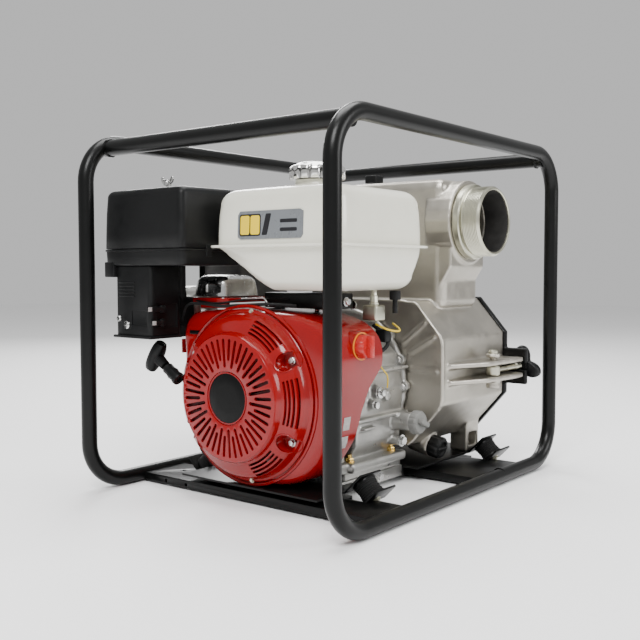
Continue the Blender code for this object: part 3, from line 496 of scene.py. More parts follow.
def arc_slot(radius, middle_angle, spread, half=0.0016, steps=10):
    """A slot along an arc about the shaft, as points in Y and Z."""
    points = []
    for k in range(steps + 1):
        spot = round_point(radius + half, middle_angle - spread + 2 * spread * k / steps, 0)
        points.append((spot.y, spot.z))
    for k in range(steps + 1):
        spot = round_point(radius - half, middle_angle + spread - 2 * spread * k / steps, 0)
        points.append((spot.y, spot.z))
    return points


POCKETS = (31, -31, 149, 211)  # degrees round the shaft
GROUPS = ((0, 17.5), (58, 14.5), (-58, 14.5))  # middle and half spread of each group of arc slots
BAND = (0.1005, 0.106, 0.1115, 0.117)  # radii of a group's four slots
SLOT_COUNT, SLOT_HALF, SLOT_END = 44, 0.0025, 0.0865
LONG_SLOT, SHORT_SLOT = 0.0445, 0.0545  # inner ends of the two lengths of slot
POCKET_DEPTH = 0.01
BADGE_BELOW = 0.0022


def recoil_cover():
    """The pierced starter cover: a turned shell with radial slots, arc slots and sunk bolts, and a dark red
    disc of painted shade behind the slots.
    """
    depth = BACK - FACE_X
    outer = [
        (0.1278, 0.0), (0.1278, 0.003), (0.1262, 0.0044), (0.1238, 0.0052), (0.1222, 0.008), (0.121, 0.013),
        (0.1188, 0.0185), (0.115, 0.0228), (0.108, 0.0268), (0.1, 0.03), (0.096, 0.0325),
        (0.0945, 0.037), (0.0935, depth - 0.003), (0.0918, depth - 0.0009), (0.0895, depth),
        (0.041, depth), (0.0398, depth - 0.0004), (0.0392, depth - 0.0022), (0.0382, depth - 0.0024),
        (0.0374, depth - 0.0006), (0.0362, depth - 0.0006), (0.0358, depth - 0.0022),
        (0.0001, depth - 0.0022),
    ]
    inner = [
        (0.0001, depth - 0.0052), (0.0895, depth - 0.0052), (0.091, depth - 0.008), (0.092, 0.033),
        (0.0975, 0.0272), (0.106, 0.024), (0.113, 0.02), (0.1165, 0.016), (0.1185, 0.008),
        (0.106, 0.004), (0.106, 0.0),
    ]
    start = (BACK, SHAFT.y, SHAFT.z)
    shapes = [lathe(outer + inner, start, BACK_X, 120, ring=True)]
    slots = []
    for k in range(SLOT_COUNT):
        slot = stadium(LONG_SLOT if k % 2 else SHORT_SLOT, SLOT_END, 360 * (k + 0.5) / SLOT_COUNT,
                       SLOT_HALF)
        slots.append(prism(slot, "X", FACE_X - 0.004, FACE_X + 0.0115))
    for degrees, spread in GROUPS:
        for radius in BAND:
            slots.append(prism(arc_slot(radius, degrees, spread), "X", BACK - 0.045, BACK - 0.0085))
    for degrees in POCKETS:
        slots.append(prism(stadium(0.0985, 0.129, degrees, 0.0128, 10), "X", BACK - 0.05, BACK - 0.0102))
    piece("recoil_cover_shell", shapes, "engine_red", stands_for=("recoil_cover",), cuts=slots, angle=28)

    def surface(spot, floor=None):
        """X of the band's outside over a point, or of the pocket's floor where that lies deeper."""
        radius = Vector((spot[0] - SHAFT.y, spot[1] - SHAFT.z)).length
        rise = 0.0
        for (r0, d0), (r1, d1) in zip(outer, outer[1:]):
            if r1 <= radius <= r0 and r0 > r1:
                rise = d0 + (d1 - d0) * (r0 - radius) / (r0 - r1)
                break
        return BACK - (rise + 0.0011 if floor is None else max(min(floor, rise - 0.0006), 0.0))

    pockets, heads = [], []
    for degrees in POCKETS:
        wall = stadium(0.0963, 0.1275, degrees, 0.015, 10)
        inside = stadium(0.0985, 0.1265, degrees, 0.0128, 10)
        rim = stadium(0.097, 0.127, degrees, 0.0142, 10)
        rows = [[(BACK - 0.0005, *spot) for spot in wall],
                [(surface(spot) + 0.0008, *spot) for spot in wall],
                [(surface(spot), *spot) for spot in rim],
                [(surface(spot) + 0.0004, *spot) for spot in inside],
                [(surface(spot, POCKET_DEPTH), *spot) for spot in inside]]
        pockets.append(skin(rows))
        heads.append(bolt(round_point(0.1125, degrees, BACK - POCKET_DEPTH), BACK_X, 0.0047, 0.005))
    piece("recoil_bolt_pockets", pockets, "engine_red", angle=50)
    piece("recoil_bolts", heads, "steel")
    small = [bolt(round_point(0.125, degrees, BACK - 0.004), BACK_X, 0.0032,
                  0.003) for degrees in (84, -84)]
    piece("recoil_small_bolts", small, "zinc")
    badge = [(0.036, 0), (0.036, 0.0006), (0.0345, 0.0012), (0.02, 0.0016), (0.0, 0.0017)]
    at = (FACE_X + BADGE_BELOW - SKIN, SHAFT.y, SHAFT.z)
    piece("recoil_badge", lathe([(0, 0), *badge], at, BACK_X, 72), "gloss_black", slot="black_plastic")
    # painted shade: a dark red disc just behind the slotted face, so the slots look shaded inside
    shade_disc = lathe([(0.0001, 0), (0.088, 0), (0.088, 0.0008), (0.0001, 0.0008)],
                   (FACE_X + 0.0068, SHAFT.y, SHAFT.z), BACK_X, 60)
    holes = [prism(stadium(0.04, 0.0875, 360 * k / 22, 0.0036), "X", FACE_X,
                   FACE_X + 0.02) for k in range(22)]
    piece("recoil_painted_shade_disc", shade_disc, "shade_red", cuts=holes, slot="engine_red")


ROPE_RISE = radians(32.5)
GRIP_Y, GRIP_Z = 0.1723, 0.2103


def starter():
    """Grip, its stem and the rope, which goes in through the cover's guide."""
    rope_way = Vector((0, cos(ROPE_RISE), sin(ROPE_RISE)))
    across = Vector((0, -rope_way.z, rope_way.y))
    centre = Vector((middle("starter_grip").x, GRIP_Y, GRIP_Z))
    square = 0.86  # below 1 the grip's section is boxier than an ellipse
    rows = []
    for k in range(17):
        t = -1 + k / 8
        wide = 0.0128 * (1 - 0.3 * abs(t) ** 4) * (0.94 + 0.06 * cos(pi * t))
        deep = 0.0104 * (1 - 0.22 * abs(t) ** 4)
        row = []
        for n in range(24):
            a = 2 * pi * n / 24
            x = abs(cos(a)) ** square * (1 if cos(a) >= 0 else -1) * wide
            y = abs(sin(a)) ** square * (1 if sin(a) >= 0 else -1) * deep
            row.append(centre + across * (t * 0.0246) + Vector((x, 0, 0)) + rope_way * y)
        rows.append(row)
    stem = [(0.0001, -0.0265), (0.0068, -0.0265)]
    for k in range(6):
        base = -0.0262 + 0.0028 * k
        stem += [(0.0076 + 0.0003 * k, base), (0.0066 + 0.0003 * k, base + 0.0014)]
    stem += [(0.01, -0.0085), (0.0001, -0.006)]
    piece("starter_grip_handle", [skin(rows), lathe(stem, centre, rope_way, 28)], "black_plastic",
          body="starter_grip", stands_for=("starter_grip",), angle=45)
    inner, outer = centre - rope_way * 0.06, centre - rope_way * 0.0245
    rope = tube([inner.lerp(outer, k / 24) for k in range(25)], 0.0026, 12)
    strand = link("starter_rope", rope)
    strand.data.materials.append(FINISH["rubber"])
    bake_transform(strand)
    guide = centre - rope_way * 0.062
    sleeve = [(0.0046, 0), (0.0098, 0), (0.0105, 0.004), (0.0088, 0.01), (0.01, 0.016), (0.0086, 0.022),
              (0.009, 0.03), (0.0046, 0.03)]
    piece("starter_rope_guide", lathe(sleeve, guide, rope_way, 28, ring=True), "black_plastic")


# ---------------------------------------------------------------- fan housing
HOUSING_LO, HOUSING_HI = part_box("fan_housing")
SWITCH = middle("engine_switch")


def reach_at(loop, angle):
    """How far the loop of (y, z) points lies from the shaft in a direction."""
    way = Vector((cos(angle), sin(angle)))
    best = 0.0
    for a, b in zip(loop, loop[1:] + loop[:1]):
        first, edge = Vector((a[0] - SHAFT.y, a[1] - SHAFT.z)), Vector((b[0] - a[0], b[1] - a[1]))
        cross = way.x * edge.y - way.y * edge.x
        if abs(cross) < 1e-12:
            continue
        out = (first.x * edge.y - first.y * edge.x) / cross
        along = (first.x * way.y - first.y * way.x) / cross
        if 0 <= along <= 1 and out > best:
            best = out
    return best


HOUSING_OUTLINE = [
    (0.14, 0.15), (0.1445, 0.215), (0.144, 0.256), (0.124, 0.279), (0.08, 0.284), (0.03, 0.2855),
    (-0.06, 0.2825), (-0.1, 0.2765), (-0.13, 0.2665), (-0.15, 0.2515), (-0.1592, 0.233),
    (-0.1595, 0.205), (-0.148, 0.15), (-0.138, 0.095), (-0.112, 0.055), (-0.07, 0.0345),
    (-0.02, 0.0295), (0.04, 0.035), (0.095, 0.068), (0.13, 0.11),
]


def fan_housing():
    """The red shell behind the starter cover, open at the front and the rear."""
    loop = [(p.x, p.y) for p in smooth_path([(a, b, 0) for a, b in HOUSING_OUTLINE], 6, closed=True)]
    steps = 160
    angles = [2 * pi * k / steps for k in range(steps)]
    reach = [reach_at(loop, angle) for angle in angles]
    front, rear = HOUSING_LO.x, HOUSING_HI.x
    mouth = 0.108
    bend = front + 0.021  # the front fillet ends here

    def row(x, inset, share=1.0):
        points = []
        for angle, far in zip(angles, reach):
            out = mouth + (far - inset - mouth) * share
            y, z = SHAFT.y + out * cos(angle), SHAFT.z + out * sin(angle)
            back = x
            if x > bend and y < 0:
                back = bend + (x - bend) * (rear - rear_step(z) * min(-y / 0.08,
                        1.0) - bend) / (rear - bend)
            points.append((back, y, z))
        return points

    rows = [row(front, 0.0, 0.0), row(front, 0.015, 0.5), row(front + 0.0002, 0.015),
            row(front + 0.0015, 0.0095), row(front + 0.0042, 0.0052), row(front + 0.0085, 0.0022),
            row(front + 0.014, 0.0006), row(bend, 0.0), row(front + 0.06, 0.0), row(rear - 0.0008, 0.0),
            row(rear, 0.0008), row(rear, 0.0028), row(bend, 0.0028), row(front + 0.006, 0.009),
            row(front + 0.0032, 0.018), row(front + 0.003, 0.0, 0.0)]
    shell = skin(rows, ring=True)
    foot = block((-0.116, -0.112, -0.01), (0.0, 0.112, 0.042))
    piece("fan_housing_shell", shell, "engine_red", stands_for=("fan_housing",), cuts=[foot], angle=40)
    seat_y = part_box("engine_switch")[1].y
    seat = [(0.0, -0.03), (0.0222, -0.03), (0.0215, -0.006), (0.0205, -0.0012), (0.019, 0.0), (0.0, 0.0)]
    piece("switch_boss", lathe(seat, (SWITCH.x, seat_y + 0.0004, SWITCH.z), NEAR_Y, 48), "engine_red")
    ring = [(0.1295, 0.0), (0.1345, 0.0), (0.134, 0.0028), (0.1318, 0.004), (0.1296, 0.0026)]
    piece("housing_rim", lathe(ring, (front + 0.0008, SHAFT.y, SHAFT.z), BACK_X, 120, ring=True),
          "engine_red")
    label()
    front_panel()


REAR_STEP = ((0.205, 0.0), (0.176, 0.022), (0.141, 0.032), (0.105, 0.04), (0.072, 0.052), (0.0, 0.056))


def rear_step(z):
    """How far the housing's rear edge stops short, low on the near side, clear of the crankcase foot."""
    for (z0, s0), (z1, s1) in zip(REAR_STEP, REAR_STEP[1:]):
        if z1 <= z <= z0:
            return s0 + (s1 - s0) * (z0 - z) / (z0 - z1)
    return 0.0


def near_wall(z):
    """Y of the housing's near wall at a height."""
    loop = HOUSING_OUTLINE[9:17]
    for (y0, z0), (y1, z1) in zip(loop, loop[1:]):
        if z1 <= z <= z0:
            return y0 + (y1 - y0) * (z0 - z) / (z0 - z1)
    return loop[0][0]


def label():
    """A blank pale rating strip on the near wall."""
    low, high, left, right = 0.09, 0.136, -0.166, -0.151
    rows = []
    for k in range(7):
        z = low + (high - low) * k / 6
        y = near_wall(z) - 0.0012
        rows.append([(left, y, z), (right, y, z), (right, y + 0.0008, z), (left, y + 0.0008, z)])
    piece("rating_label", skin(rows), "label_pale")


def front_panel():
    """The flat panel at the housing's far top corner, with its slot, ribs and pale corner tab."""
    x = HOUSING_LO.x - SKIN
    ribs = [block((x - 0.0006, 0.1205 - 0.0052 * k, 0.196), (x + 0.001, 0.1235 - 0.0052 * k, 0.222),
                  0.0004) for k in range(3)]
    piece("panel_ribs", ribs, "gloss_black", slot="black_plastic")
    slot_plate = block((x - 0.0008, 0.094, 0.2455), (x + 0.001, 0.126, 0.2515), 0.0007)
    piece("panel_slot", slot_plate, "gloss_black", slot="black_plastic")
    piece("panel_tab", block((x - 0.0006, 0.115, 0.176), (x + 0.001, 0.127, 0.192), 0.0006), "label_pale")


def engine_switch():
    """The faceted switch knob with its bar, its ring, and the collar on the housing's corner."""
    lo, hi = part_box("engine_switch")
    at = Vector((SWITCH.x, hi.y, SWITCH.z))

    def place(angle, height, radius, flute):
        out = radius - flute * (0.5 + 0.5 * cos(8 * angle))
        return at + Vector((out * cos(angle), -height, out * sin(angle)))
    levels = ((0, 0.0172, 0.0), (0.002, 0.0176, 0.0008), (0.009, 0.0178, 0.0014), (0.012, 0.016, 0.0012),
              (0.0132, 0.014, 0.0006))
    bar = block((at.x - 0.004, lo.y, at.z - 0.0158), (at.x + 0.004, at.y - 0.008, at.z + 0.0158), 0.0018)
    piece("engine_switch_knob", [skin(turned(levels, 64, place)), bar], "pearl", body="engine_switch",
          stands_for=("engine_switch",), slot="engine_red", angle=30)
    ring = [(0.0182, 0), (0.02, 0), (0.02, 0.0014), (0.0182, 0.0014)]
    piece("switch_ring", lathe(ring, at + Vector((0, 0.0004, 0)), NEAR_Y, 48, ring=True), "orange")
    collar = [(0.018, 0), (0.024, 0), (0.024, 0.003), (0.0215, 0.005), (0.018, 0.005)]
    piece("housing_corner_collar", lathe(collar, (HOUSING_HI.x + 0.0004, -0.13, 0.233), (1, 0, 0), 40,
                                         ring=True), "die_cast", slot="cast_aluminium")


# ---------------------------------------------------------------- rounded shells
def rounded_loop(lo, hi, radius, count=96):
    """Evenly spaced points round a rectangle with round corners."""
    radius = min(radius, (hi[0] - lo[0]) / 2 - 1e-4, (hi[1] - lo[1]) / 2 - 1e-4)
    wide, deep = hi[0] - lo[0] - 2 * radius, hi[1] - lo[1] - 2 * radius
    quarter = pi * radius / 2
    total = 2 * (wide + deep) + 4 * quarter
    points = []
    for k in range(count):
        s = total * k / count
        for x, y, way, run in ((hi[0], lo[1] + radius, 90, deep), (hi[0] - radius, hi[1], 180, wide),
                               (lo[0], hi[1] - radius, 270, deep), (lo[0] + radius, lo[1], 0, wide)):
            step = radians(way)
            if s <= run:
                points.append((x + s * cos(step), y + s * sin(step)))
                break
            s -= run
            if s <= quarter:
                angle = radians(way - 90) + s / radius
                centre = (x + run * cos(step) - radius * cos(step - pi / 2),
                          y + run * sin(step) - radius * sin(step - pi / 2))
                points.append((centre[0] + radius * cos(angle), centre[1] + radius * sin(angle)))
                break
            s -= quarter
    return points


def shell(levels, lo, hi, radius, count=96, shape=None):
    """Rounded rectangles stacked up and closed to a small patch at each end."""
    rows = []
    for height, inset in levels:
        low, high = (lo[0] + inset, lo[1] + inset), (hi[0] - inset, hi[1] - inset)
        corner = max(radius - 0.35 * max(inset, 0), 0.004)
        row = [Vector((x, y, height)) for x, y in rounded_loop(low, high, corner, count)]
        rows.append([shape(point) for point in row] if shape else row)
    return skin(rows)


def crown(start, end, low, high, steps=10):
    """Levels that turn from a vertical wall into a nearly flat top: insets start..end, heights low..high."""
    found = []
    for k in range(1, steps + 1):
        angle = pi / 2 * k / steps
        found.append((low + (high - low) * sin(angle), start + (end - start) * (1 - cos(angle))))
    return found


# ---------------------------------------------------------------- fuel tank
TANK_LO, TANK_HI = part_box("fuel_tank")
FLANGE = 0.008
CAP_LO, CAP_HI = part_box("fuel_cap")
CAP_AT = (CAP_LO + CAP_HI) / 2
TANK_SEAM, TANK_TOP = 0.379, 0.469
TANK_BEND = 0.021  # corner radius seen from above


RISE_START, RISE_LENGTH, RISE = -0.046, 0.092, 0.052  # of the tank's underside, along Y


def tank_rise(point):
    """The underside climbs towards the cylinder side, in a smooth bend."""
    seam, bottom = TANK_SEAM, TANK_LO.z
    if point.z >= seam - 0.002:
        return point
    t = min(max((point.y - RISE_START) / RISE_LENGTH, 0.0), 1.0)
    floor = bottom + RISE * (0.45 * t + 0.55 * t * t * (3 - 2 * t))
    point.z = seam - (seam - point.z) * (seam - floor) / (seam - bottom)
    return point


def fuel_tank():
    """The two pressed halves with their seam flange, and the filler neck."""
    lo = (TANK_LO.x + FLANGE, TANK_LO.y + FLANGE)
    hi = (TANK_HI.x, TANK_HI.y - 0.001)
    bottom, seam = TANK_LO.z, TANK_SEAM
    half = min(hi[0] - lo[0], hi[1] - lo[1]) / 2
    under = [(bottom, half - 0.004), (bottom, half * 0.75), (bottom, half * 0.5), (bottom + 0.0002, 0.034)]
    under += [(bottom + 0.022 - 0.0218 * cos(a),
               0.034 - 0.024 * sin(a)) for a in [pi / 2 * k / 8 for k in range(1, 9)]]
    wall = [(0.35, 0.006), (0.366, 0.0018), (seam - 0.0022, 0.0006), (seam - 0.002, -0.001),
            (seam - 0.0018, -FLANGE + 0.0006), (seam - 0.001, -FLANGE), (seam + 0.001, -FLANGE),
            (seam + 0.0018, -FLANGE + 0.0006), (seam + 0.002, -0.001), (seam + 0.0024, 0.0004),
            (0.4, 0.0006), (0.425, 0.0018), (0.438, 0.0034)]
    top = [(0.438 + 0.0245 * sin(a), 0.0034 + 0.0235 * (1 - cos(a)) ** 1.05) for a in
           [pi / 2 * k / 9 for k in range(1, 10)]]
    lid = [(0.4655, 0.045), (TANK_TOP - 0.0012, 0.062), (TANK_TOP, half - 0.012), (TANK_TOP, half - 0.004)]
    shell_mesh = shell(under + wall + top + lid, lo, hi, TANK_BEND, 144, tank_rise)
    piece("fuel_tank_shell", shell_mesh, "tank_cream", stands_for=("fuel_tank",), angle=50)
    at = (CAP_AT.x, CAP_AT.y, 0)
    neck = [(0.026, 0.462), (0.0385, 0.4625), (0.035, 0.4665), (0.033, 0.469), (0.0325, 0.4765),
            (0.026, 0.4765)]
    piece("fuel_tank_neck", lathe(neck, at, UP, 64, ring=True), "tank_cream")
    weld = [(0.033, 0.4665), (0.0372, 0.4668), (0.0366, 0.4684), (0.0338, 0.4696)]
    piece("fuel_tank_neck_bead", lathe(weld, at, UP, 64, ring=True), "tank_cream")
    sticker(lo[0])


DECAL_LOW, DECAL_HIGH = 0.3885, 0.4285
DECAL_NEAR, DECAL_FAR = -0.1216, 0.0006
DECAL_LEAN = 0.04  # the decal leans back with the tank's wall


def sticker(face):
    """A plain rectangular decal on the tank's starter side: bars and a wedge, no words."""
    def patch(name, y0, y1, z0, z1, lean, off, finish, round_by=0.003):
        loop = rounded_loop((y0, z0), (y1, z1), round_by, 40)
        rows = []
        for depth in (0.0014, -off):
            row = []
            for y, z in loop:
                bulge = DECAL_LEAN * (z - DECAL_LOW) - 0.0005
                row.append((face + bulge + depth, y + lean * (z - z0), z))
            rows.append(row)
        piece(name, skin(rows), finish)
    patch("tank_decal", DECAL_NEAR, DECAL_FAR, DECAL_LOW, DECAL_HIGH, 0.0, SKIN, "label_grey")
    patch("tank_decal_bar_edge", -0.044, -0.003, 0.393, 0.424, 0.0, 0.0005, "label_dark")
    for name, y0, y1 in (("left", -0.0225, -0.005), ("right", -0.042, -0.0245)):
        patch(f"tank_decal_bar_{name}", y0, y1, 0.395, 0.422, 0.0, 0.0007, "label_yellow")
    patch("tank_decal_wedge", -0.056, -0.046, 0.394, 0.424, -0.25, 0.0005, "label_dark", 0.001)
    for k, z in enumerate((0.4105, 0.3985)):
        patch(f"tank_decal_line_{k + 1}", -0.111, -0.08, z, z + 0.005, 0.0, 0.0005, "label_dark", 0.001)


CAP_GROOVES, GROOVE_DEEP = 16, 0.003


def fuel_cap():
    """The bright cap, with sixteen grooves round its rim."""
    base, top, radius = CAP_LO.z, CAP_HI.z, CAP_HI.x - CAP_AT.x
    profile = ((base, 0.0375, 0.0), (base, radius - 0.0012, 0.3), (base + 0.0015, radius, 1.0),
               (base + 0.015, radius, 1.0), (base + 0.0185, radius - 0.0018, 0.7),
               (base + 0.0205, radius - 0.0045, 0.2), (base + 0.0215, radius - 0.0075, 0.0),
               (base + 0.0212, radius - 0.0095, 0.0), (top - 0.001, radius - 0.012, 0.0),
               (top, radius - 0.015, 0.0), (top, 0.01, 0.0), (top, 0.0001, 0.0))

    def place(angle, height, out, flute):
        r = out - GROOVE_DEEP * flute * max(0.0, cos(CAP_GROOVES * angle)) ** 3
        return CAP_AT.x + r * cos(angle), CAP_AT.y + r * sin(angle), height
    piece("fuel_cap_shell", skin(turned(profile, 160, place)), "chrome", body="fuel_cap",
          stands_for=("fuel_cap",), angle=40)


# ---------------------------------------------------------------- air cleaner and carburettor
TRAY_FLOOR = 0.351
CLEANER_BEND = 0.0095
CREASE_START = 0.44


def air_cleaner():
    """Lid, tray with its skirt and clip, and the pleated element inside."""
    lo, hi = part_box("air_cleaner_lid")
    split = lo.z
    half = min(hi.x - lo.x, hi.y - lo.y) / 2

    def crease(point):
        """The lid's near front corner is a soft crease: its near wall leans in above the split."""
        lift = max(point.z - CREASE_START, 0.0)
        point.z += 0.06 * lift * (point.x - lo.x) / (hi.x - lo.x) - 0.04 * lift
        return point

    walls = [(split, half - 0.01), (split, 0.006), (split, 0.0012), (split + 0.001, 0.0002), (0.4, 0.0006),
             (0.43, 0.0014), (0.456, 0.003)]
    top = crown(0.003, 0.013, 0.456, 0.4678, 9)
    top += [(0.469, 0.02), (0.4706, 0.034), (0.4716, half - 0.012), (0.4716, half - 0.003)]
    piece("air_cleaner_lid_shell", shell(walls + top, lo, hi, CLEANER_BEND, 128, crease), "black_plastic",
          stands_for=("air_cleaner_lid",), angle=50)
    base_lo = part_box("air_cleaner_base")[0]
    floor = TRAY_FLOOR
    tray = [(floor, half - 0.01), (floor, 0.006), (floor + 0.0008, 0.003), (floor + 0.003, 0.0016),
            (0.366, 0.001), (split - 0.004, 0.0006), (split - 0.0032, -0.0006), (split - 0.0006, -0.0006),
            (split - 0.0004, 0.01), (split - 0.0004, half - 0.01)]
    body = shell(tray, lo, hi, CLEANER_BEND, 128)
    cover_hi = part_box("carburettor_cover")[1]
    skirt = block((lo.x + 0.0008, cover_hi.y - 0.0045, base_lo.z), (-0.215, hi.y - 0.001, floor + 0.006),
                  0.0014)
    neck = block((-0.262, 0.148, 0.3454), (-0.224, 0.205, floor + 0.004), 0.004)
    clip = block((-0.232, lo.y - 0.0004, split - 0.012), (-0.22, lo.y + 0.004, split + 0.006), 0.0012)
    piece("air_cleaner_tray", [body, skirt, neck, clip], "black_plastic", stands_for=("air_cleaner_base",),
          angle=50)
    e_lo, e_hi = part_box("filter_element")
    loop = rounded_loop((e_lo.x + 0.003, e_lo.y + 0.003), (e_hi.x - 0.003, e_hi.y - 0.003), 0.02, 120)
    centre = (e_lo + e_hi) / 2
    rows = []
    for z in (e_lo.z, e_hi.z):
        row = []
        for k, (x, y) in enumerate(loop):
            away = Vector((x - centre.x, y - centre.y)).normalized() * (0.0028 if k % 2 else -0.004)
            row.append((x + away.x, y + away.y, z))
        rows.append(row)
    piece("filter_pleats", skin(rows), "foam", stands_for=("filter_element",), angle=20)


def wing_nut():
    """The lid's wing nut on its stud."""
    lo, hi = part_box("wing_nut")
    at = Vector(((lo.x + hi.x) / 2, (lo.y + hi.y) / 2, lo.z))
    hub = lathe([(0.0025, 0), (0.0062, 0), (0.006, 0.004), (0.0048, 0.0088), (0.0025, 0.0088)], at, UP, 32,
                ring=True)
    shapes = [hub]
    for side in (-1, 1):
        outline = [(0.004, 0.0018), (0.0105, 0.004), (0.0135, 0.0085), (0.0136, 0.0116), (0.0118, 0.0134),
                   (0.0092, 0.0128), (0.007, 0.0096), (0.0044, 0.0078)]
        loop = smooth_path([(side * a + at.y, b + at.z, 0) for a, b in outline], 5, closed=True)
        shapes.append(prism([(p.x, p.y) for p in loop], "X", at.x - 0.0013, at.x + 0.0013))
    piece("wing_nut_shell", shapes, "steel", body="wing_nut", stands_for=("wing_nut",), bevel=0.0004)
    stud = tube([at + UP * (z - 0.004) for z in (0, 0.006, 0.0135)], 0.0024, 14)
    piece("air_cleaner_stud", stud, "steel")


def carburettor_group():
    """The black cover below the air cleaner, its screws and levers, and the intake beside it."""
    refined("carburettor", "die_cast", 0.001, slot="cast_aluminium")
    lo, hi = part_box("carburettor_cover")
    lo_in = Vector((lo.x + 0.004, lo.y + 0.003, lo.z))
    hi_in = Vector((hi.x, hi.y - 0.003, TRAY_FLOOR + 0.0025))
    box_shape = block(lo_in, hi_in, 0.0055, 4)
    lip = block((lo.x, lo.y, lo.z), (hi.x, hi.y, lo.z + 0.0042), 0.0016)
    room = block(lo_in + Vector((0.004, 0.004, 0.005)), (hi.x + 0.02, hi_in.y - 0.004, hi.z - 0.004))
    neck = block((-0.265, 0.145, 0.33), (-0.221, 0.208, 0.36))
    recess = block((lo_in.x - 0.002, 0.1455, 0.26), (lo_in.x + 0.0018, 0.18, 0.283), 0.0)
    window = block((-0.262, lo_in.y - 0.003, 0.2575), (-0.222, lo_in.y + 0.0022, 0.293))
    piece("carburettor_cover_shell", [box_shape], "black_plastic", stands_for=("carburettor_cover",),
          cuts=[room, neck, recess, window], bevel=0.0005)
    piece("carburettor_cover_lip", lip, "black_plastic")
    ribs = [block((lo_in.x - 0.0012, 0.172, 0.3035 + 0.0052 * k),
                  (lo_in.x + 0.002, 0.208, 0.3059 + 0.0052 * k), 0.0007) for k in range(5)]
    piece("carburettor_cover_ribs", ribs, "black_plastic")
    screw = lathe([(0.0001, 0.0), (0.0064, 0.0), (0.0062, 0.0022), (0.0046, 0.0036), (0.0001, 0.004)],
                  (lo_in.x - 0.0002, 0.1895, 0.2605), BACK_X, 32)
    bar = block((lo_in.x - 0.0046, 0.1863, 0.2598), (lo_in.x - 0.0034, 0.1927, 0.2612), 0.0003)
    piece("carburettor_cover_screw", [screw, bar], "steel")
    knob = lathe([(0.0001, 0), (0.0042, 0), (0.0046, 0.003), (0.0034, 0.0052), (0.0001, 0.0056)],
                 (lo_in.x - 0.0002, 0.206, 0.27), BACK_X, 24)
    piece("idle_screw", knob, "steel")
    for node in ("choke_lever", "fuel_lever"):
        lever(node)
    hose = smooth_path([(-0.203, 0.15, 0.353), (-0.203, 0.15, 0.33), (-0.201, 0.152, 0.312),
                        (-0.196, 0.155, 0.3)], 6)
    elbow = block((-0.212, 0.147, 0.256), (-0.174, 0.178, 0.302), 0.004)
    bowl = lathe([(0.0001, 0.238), (0.013, 0.24), (0.015, 0.246), (0.015, 0.258), (0.0001, 0.26)],
                 (-0.194, 0.162, 0), UP, 28)
    piece("intake_hose", [tube(hose, 0.009, 20), elbow, bowl], "rubber", slot="black_plastic")


def lever(node):
    """A small hand lever: hub, blade and pale tip."""
    lo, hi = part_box(node)
    z = (lo.z + hi.z) / 2
    hub_x = hi.x - 0.006
    hub = lathe([(0.0001, 0), (0.006, 0), (0.006, 0.0044), (0.0048, 0.0056), (0.0001, 0.0058)],
                (hub_x, hi.y - 0.0001, z), NEAR_Y, 28)
    outline = [(lo.x + 0.001, z - 0.0042), (lo.x + 0.008, z - 0.0046), (hub_x, z - 0.003),
               (hub_x, z + 0.003), (lo.x + 0.008, z + 0.0046), (lo.x + 0.001, z + 0.0042), (lo.x, z)]
    blade = prism(outline, "Y", lo.y + 0.0002, lo.y + 0.0028)
    piece(node + "_shell", [hub, blade], "black_plastic", BODY_OF[node], (node,), bevel=0.0005)
    tip = block((lo.x + 0.0015, lo.y + 0.0001, z - 0.0034), (lo.x + 0.0095, lo.y + 0.0012, z + 0.0034),
                0.0005)
    piece(node + "_tip", tip, "label_pale", BODY_OF[node])


# ---------------------------------------------------------------- between the tank and the housing
def cable(name, points, radius, finish="rubber", each=8, steps=10, slot=None):
    """A held cable, rod or wire through a few points."""
    piece(name, tube(smooth_path(points, each), radius, steps), finish, slot=slot)


